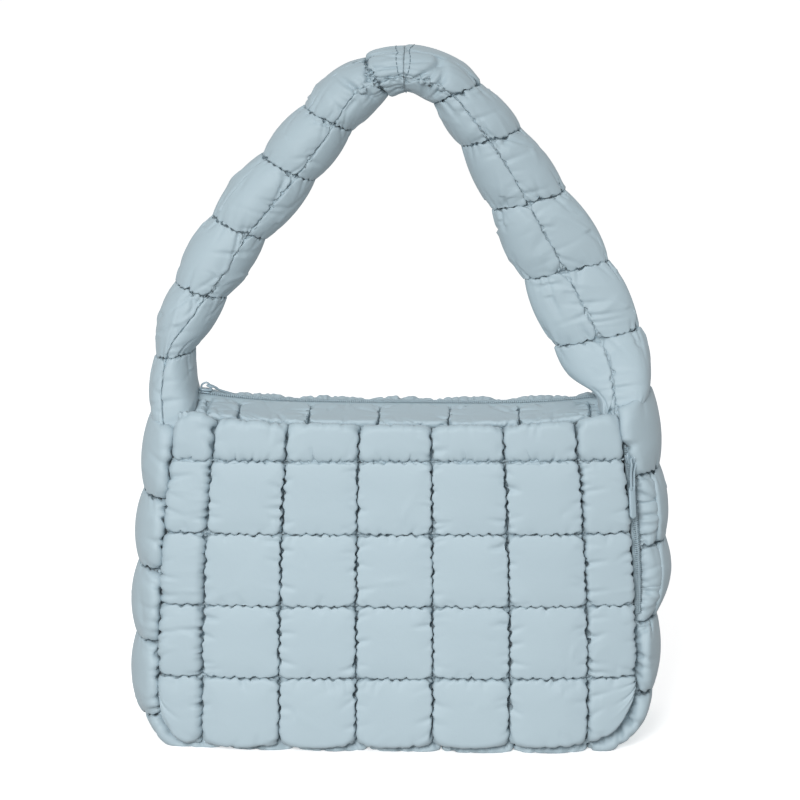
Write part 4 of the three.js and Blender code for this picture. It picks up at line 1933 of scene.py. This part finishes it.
@dataclass
class ZipPull:
    """A slider with its wire bail, and the pull that hangs on it: a cord loop with a moulded end.

    Both lie along their own first axis, with the tape's face at zero height.

    coil, clear: height of the coil, and the slider's clearance above it.
    bail_rows: (along, up) places of the bail's wire above the slider.
    strand_rows, cord_turn: (along, side, up) places of the cord's strands, and of its turn at the bail.
    swing, dip: how far the pull has fallen to the side and down, in degrees.
    """

    zip_line: CoilZip
    at: float
    length: float = 11.0
    width: float = 7.6
    narrowing: float = 0.78
    plate: float = 1.8
    coil: float = 1.6
    clear: float = 0.4
    plate_sides: int = 28
    soft_edge: float = 0.8
    lip: float = 1.5
    lip_length: float = 6.0
    lip_height: float = 1.1
    lip_narrowing: float = 0.9
    bail_wire: float = 1.5
    cord: float = 1.8
    tab_start: float = 21.0
    tab: float = 24.0
    tab_width: float = 5.6
    tab_thick: float = 2.2
    rest: float = 1.9
    bail_rows: tuple[tuple[float, float], ...] = (
        (-3.5, -0.8), (-3.2, 2.4), (0.0, 4.4), (3.2, 2.4), (3.5, -0.8),
    )
    strand_rows: tuple[tuple[float, float, float], ...] = (
        (24.0, 1.5, 3.9), (11.0, 1.5, 4.6), (5.5, 1.9, 6.3), (1.4, 2.0, 5.8),
    )
    cord_turn: tuple[float, float, float] = (0.0, 0.0, 5.8)
    swing: float = 0.0
    dip: float = 0.0

    def fallen(self, points: Array) -> Array:
        """Turn points of the pull to where it has fallen beside its zip.

        Args:
            points: points of the slider's own frame, one in each row.

        Returns:
            The turned points, in the same frame.
        """
        swing, dip = math.radians(self.swing), math.radians(self.dip)
        along = points[:, 0] * math.cos(dip) + points[:, 2] * math.sin(dip)
        up = points[:, 2] * math.cos(dip) - points[:, 0] * math.sin(dip)
        across = points[:, 1] * math.cos(swing) + along * math.sin(swing)
        return np.stack([along * math.cos(swing) - points[:, 1] * math.sin(swing), across, up], axis=1)

    def placed(self, points: Array) -> Array:
        """Turn points of the slider's own frame into the bag's.

        Args:
            points: points of the slider's frame, in the last axis.

        Returns:
            The points in the bag's frame, in the same layout.
        """
        toward = math.copysign(1, self.zip_line.end - self.zip_line.start)
        here, _, _, up = self.zip_line.lie(np.array(self.at))
        ahead = self.zip_line.lie(np.array(self.at + toward * (self.tab_start + self.tab)))[0]
        along = (ahead - here) / np.linalg.norm(ahead - here)
        across = np.cross(up, along)
        across /= np.linalg.norm(across)
        return here + points @ np.stack([along, across, np.cross(along, across)])

    def rounded_plate(
        self,
        parts: MeshParts,
        length: float,
        widths: tuple[float, float],
        low: float,
        thick: float,
        start: float,
        finish: int = 0,
    ) -> None:
        """Add a plate with round ends and soft edges.

        Args:
            parts: the mesh to add it to.
            length: its whole length.
            widths: its width at the near and at the far end.
            low: height of its underside.
            thick: its thickness.
            start: place of its near end.
            finish: number of its finish.
        """
        turn = np.linspace(0, 2 * np.pi, self.plate_sides, endpoint=False)
        soft = min(self.soft_edge, thick * 0.4)
        levels = ((soft, 0.0), (0.3 * soft, 0.3 * soft), (0.0, soft), (0.0, thick - soft))
        levels += ((0.3 * soft, thick - 0.3 * soft), (soft, thick))
        rings = []
        for inset, up in levels:
            ends = np.where(np.cos(turn) > 0, widths[1], widths[0]) / 2
            middle = np.where(np.cos(turn) > 0, start + length - widths[1] / 2, start + widths[0] / 2)
            along = middle + (ends - inset) * np.cos(turn)
            aside = (ends - inset) * np.sin(turn)
            rings.append(np.stack([along, aside, np.full(len(turn), low + up)], axis=1))
        sides = len(turn)
        rings = [self.fallen(ring) for ring in rings] if finish else rings
        quads = ring_quads(len(rings), sides)
        begin = parts.add(self.placed(np.concatenate(rings)), quads, finish=finish)
        for row, turned in ((0, True), (len(rings) - 1, False)):
            rim = begin + row * sides + np.arange(sides)
            parts.cap(rim, self.placed(rings[row].mean(axis=0)), turned, finish)

    def build_slider(self, lacquer: bpy.types.Material) -> bpy.types.Object:
        """Make the slider: a shield shaped plate on two lips, and the bail.

        Args:
            lacquer: the slider's finish.

        Returns:
            The finished object.
        """
        parts = MeshParts()
        under = self.coil + self.clear
        top = under + self.plate
        widths = (self.width, self.narrowing * self.width)
        self.rounded_plate(parts, self.length, widths, under, self.plate, -self.length / 2)
        for side in (-1, 1):
            edge = side * (self.width - self.lip) / 2
            half, up = self.lip_length / 2, self.lip_height
            ends = np.array([(-half, edge, up), (half, self.lip_narrowing * edge, up)])
            tube(parts, self.placed(np.linspace(*ends, 5)), self.lip / 2)
        bail = smooth_path(np.array([(along, 0, top + up) for along, up in self.bail_rows]), 5)
        tube(parts, self.placed(bail), self.bail_wire / 2, sides=10)
        node = f"{self.zip_line.node}_slider"
        return dressed(parts.to_object(f"{node}_cast", lacquer), node)

    def build_pull(self, cord: bpy.types.Material, vinyl: bpy.types.Material) -> bpy.types.Object:
        """Make the pull: the doubled cord and the moulded end that it enters.

        Args:
            cord: the cord's finish.
            vinyl: the moulded end's finish.

        Returns:
            The finished object.
        """
        parts = MeshParts()
        one = [(along, -side, up) for along, side, up in self.strand_rows]
        other = [(along, side, up) for along, side, up in reversed(self.strand_rows)]
        cord_path = smooth_path(np.array([*one, self.cord_turn, *other]), 6)
        tube(parts, self.placed(self.fallen(cord_path)), self.cord / 2, sides=10)
        widths = (self.tab_width, self.tab_width)
        self.rounded_plate(parts, self.tab, widths, self.rest, self.tab_thick, self.tab_start, finish=1)
        node = f"{self.zip_line.node}_pull"
        return dressed(parts.to_object(f"{node}_cord_and_tab", cord, vinyl), node)


# Studio


@dataclass
class Studio:
    """Plain pale floor, even sky, one soft light and the camera at the photo's angle.

    target, azimuth, elevation, distance: what the camera looks at, and from where.
    sky, ground, table_glow: strength of the light from above, from below and from the floor itself.
    The names in key are those of the soft light, with its power in watts and its spread in degrees.
    """

    target: tuple[float, float, float] = (0.0, 0.0, 256.0)
    azimuth: float = 2.3
    elevation: float = 12.0
    distance: float = 2400.0
    sensor: float = 36.0
    lens: float = 143.0
    floor_half: float = 30000.0
    sky: float = 0.62
    ground: float = 0.54
    table_glow: float = 0.45
    key_place: tuple[float, float, float] = (-600.0, -2450.0, 1300.0)
    key_target: tuple[float, float, float] = (0.0, 0.0, 40.0)
    key_side: float = 1200.0
    key_power: float = 4.6
    key_spread: float = 40.0

    def camera(self) -> None:
        """Set up the camera."""
        data = bpy.data.cameras.new("camera")
        data.sensor_width = self.sensor
        data.lens = self.lens
        data.clip_end = 100.0
        camera = bpy.data.objects.new("camera", data)
        bpy.context.scene.collection.objects.link(camera)
        turn, rise = math.radians(self.azimuth), math.radians(self.elevation)
        back = Vector((math.sin(turn) * math.cos(rise), -math.cos(turn) * math.cos(rise), math.sin(rise)))
        camera.location = (Vector(self.target) + back * self.distance) * MM
        camera.rotation_euler = (-back).to_track_quat("-Z", "Y").to_euler()
        bpy.context.scene.camera = camera

    def key_light(self) -> None:
        """Add the square soft light that faces the lower part of the bag."""
        data = bpy.data.lights.new("key_left", "AREA")
        data.size = self.key_side * MM
        data.energy = self.key_power
        data.spread = math.radians(self.key_spread)
        light = bpy.data.objects.new("key_left", data)
        light.location = Vector(self.key_place) * MM
        aim = Vector(self.key_target) * MM - light.location
        light.rotation_euler = aim.to_track_quat("-Z", "Y").to_euler()
        bpy.context.scene.collection.objects.link(light)

    def acrylic(self) -> bpy.types.Material:
        """White acrylic lit from below, so that the ground stays white and shadows stay faint.

        Returns:
            The floor's material.
        """
        material, tree = new_tree("underlit_white_acrylic")
        shader = add_node(
            tree,
            "ShaderNodeBsdfPrincipled",
            None,
            {
                "Base Color": linear("#F7F7F7"),
                "Roughness": 0.9,
                "Emission Color": linear("#FFFFFF"),
                "Emission Strength": self.table_glow,
            },
        )
        add_node(tree, "ShaderNodeOutputMaterial", {"Surface": shader.outputs["BSDF"]})
        return material

    def dome(self, tree: bpy.types.NodeTree) -> None:
        """Light the room evenly, less from below than from above.

        Args:
            tree: node tree of the world.
        """
        tree.nodes.clear()
        direction = add_node(tree, "ShaderNodeTexCoord").outputs["Generated"]
        split = add_node(tree, "ShaderNodeSeparateXYZ", {"Vector": direction})
        strength = add_node(
            tree,
            "ShaderNodeMapRange",
            {"Value": split.outputs["Z"]},
            {"From Min": -0.4, "From Max": 0.4, "To Min": self.ground, "To Max": self.sky},
            interpolation_type="SMOOTHSTEP",
        )
        light = add_node(
            tree,
            "ShaderNodeBackground",
            {"Strength": strength.outputs["Result"]},
            {"Color": linear("#FFFFFF")},
        )
        add_node(tree, "ShaderNodeOutputWorld", {"Surface": light.outputs["Background"]})

    def build(self) -> None:
        """Set up floor, sky, light and camera."""
        scene = bpy.context.scene
        scene.view_settings.view_transform = "Standard"
        world = bpy.data.worlds.new("studio_sky")
        scene.world = world
        world.use_nodes = True
        self.dome(world.node_tree)
        half = self.floor_half
        corners = [(-half, -half, 0), (half, -half, 0), (half, half, 0), (-half, half, 0)]
        parts = MeshParts()
        parts.add(np.array(corners), np.array([[0, 1, 2, 3]]))
        table = parts.to_object("light_table", self.acrylic())
        table.visible_diffuse = False
        table.visible_glossy = False
        self.key_light()
        self.camera()


def main() -> None:
    """Build the bag piece by piece, logging the points and faces of each mesh."""
    logging.basicConfig(level=logging.INFO, format="%(name)s %(message)s")
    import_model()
    Studio().build()
    form = BagForm()
    nylon = NylonTaffeta().material()
    thread = THREAD_WITH_PAINTED_HOLE_SHADE.material()
    gusset = Gusset(form, "gusset", 13)
    pieces: Iterable[PaddedPiece] = (
        QuiltedPanel(form, "front_panel", 11, face=Face.FRONT),
        QuiltedPanel(form, "back_panel", 12, face=Face.BACK, fold_lean=0.3, fold_height=1.0),
        gusset,
        TopPanel(form, "top_panel_front", 14, face=Face.FRONT),
        TopPanel(form, "top_panel_back", 15, face=Face.BACK, puff=2.0, dome=-4.0),
        StrapArm(form, Arm.LEFT.value, 16, arm=Arm.LEFT, thread=thread, seams=LEFT_SEAMS),
        StrapArm(form, Arm.RIGHT.value, 17, arm=Arm.RIGHT, thread=thread, seams=RIGHT_SEAMS),
    )
    for piece in pieces:
        piece.build(nylon)
    main_reach = form.top_half + form.main_zip_past
    main_zip = MainZip(form, "main_zip", -main_reach, main_reach, arch=form.zip_arch)
    pocket_ends = (form.pocket_high - form.pocket_zip_in, form.pocket_low + form.pocket_zip_in)
    pocket_zip = PocketZip(form, "pocket_zip", *pocket_ends, seam_gap=0.8, arch=2.0, lift=1.0, band=gusset)
    tape, coil = ZIP_TAPE.material(), ZIP_COIL.material()
    lacquer, cord, vinyl = SLIDER_LACQUER.material(), PULL_CORD.material(), PULL_VINYL.material()
    main_pull = ZipPull(main_zip, form.main_slider_in - form.top_half, swing=32.0, dip=13.0)
    pocket_at = form.pocket_high - form.pocket_slider_down
    pocket_pull = ZipPull(pocket_zip, pocket_at, swing=-10.0, dip=-6.0)
    for pull in (main_pull, pocket_pull):
        pull.zip_line.build(tape, coil)
        pull.build_slider(lacquer)
        pull.build_pull(cord, vinyl)


if __name__ == "__main__":
    main()
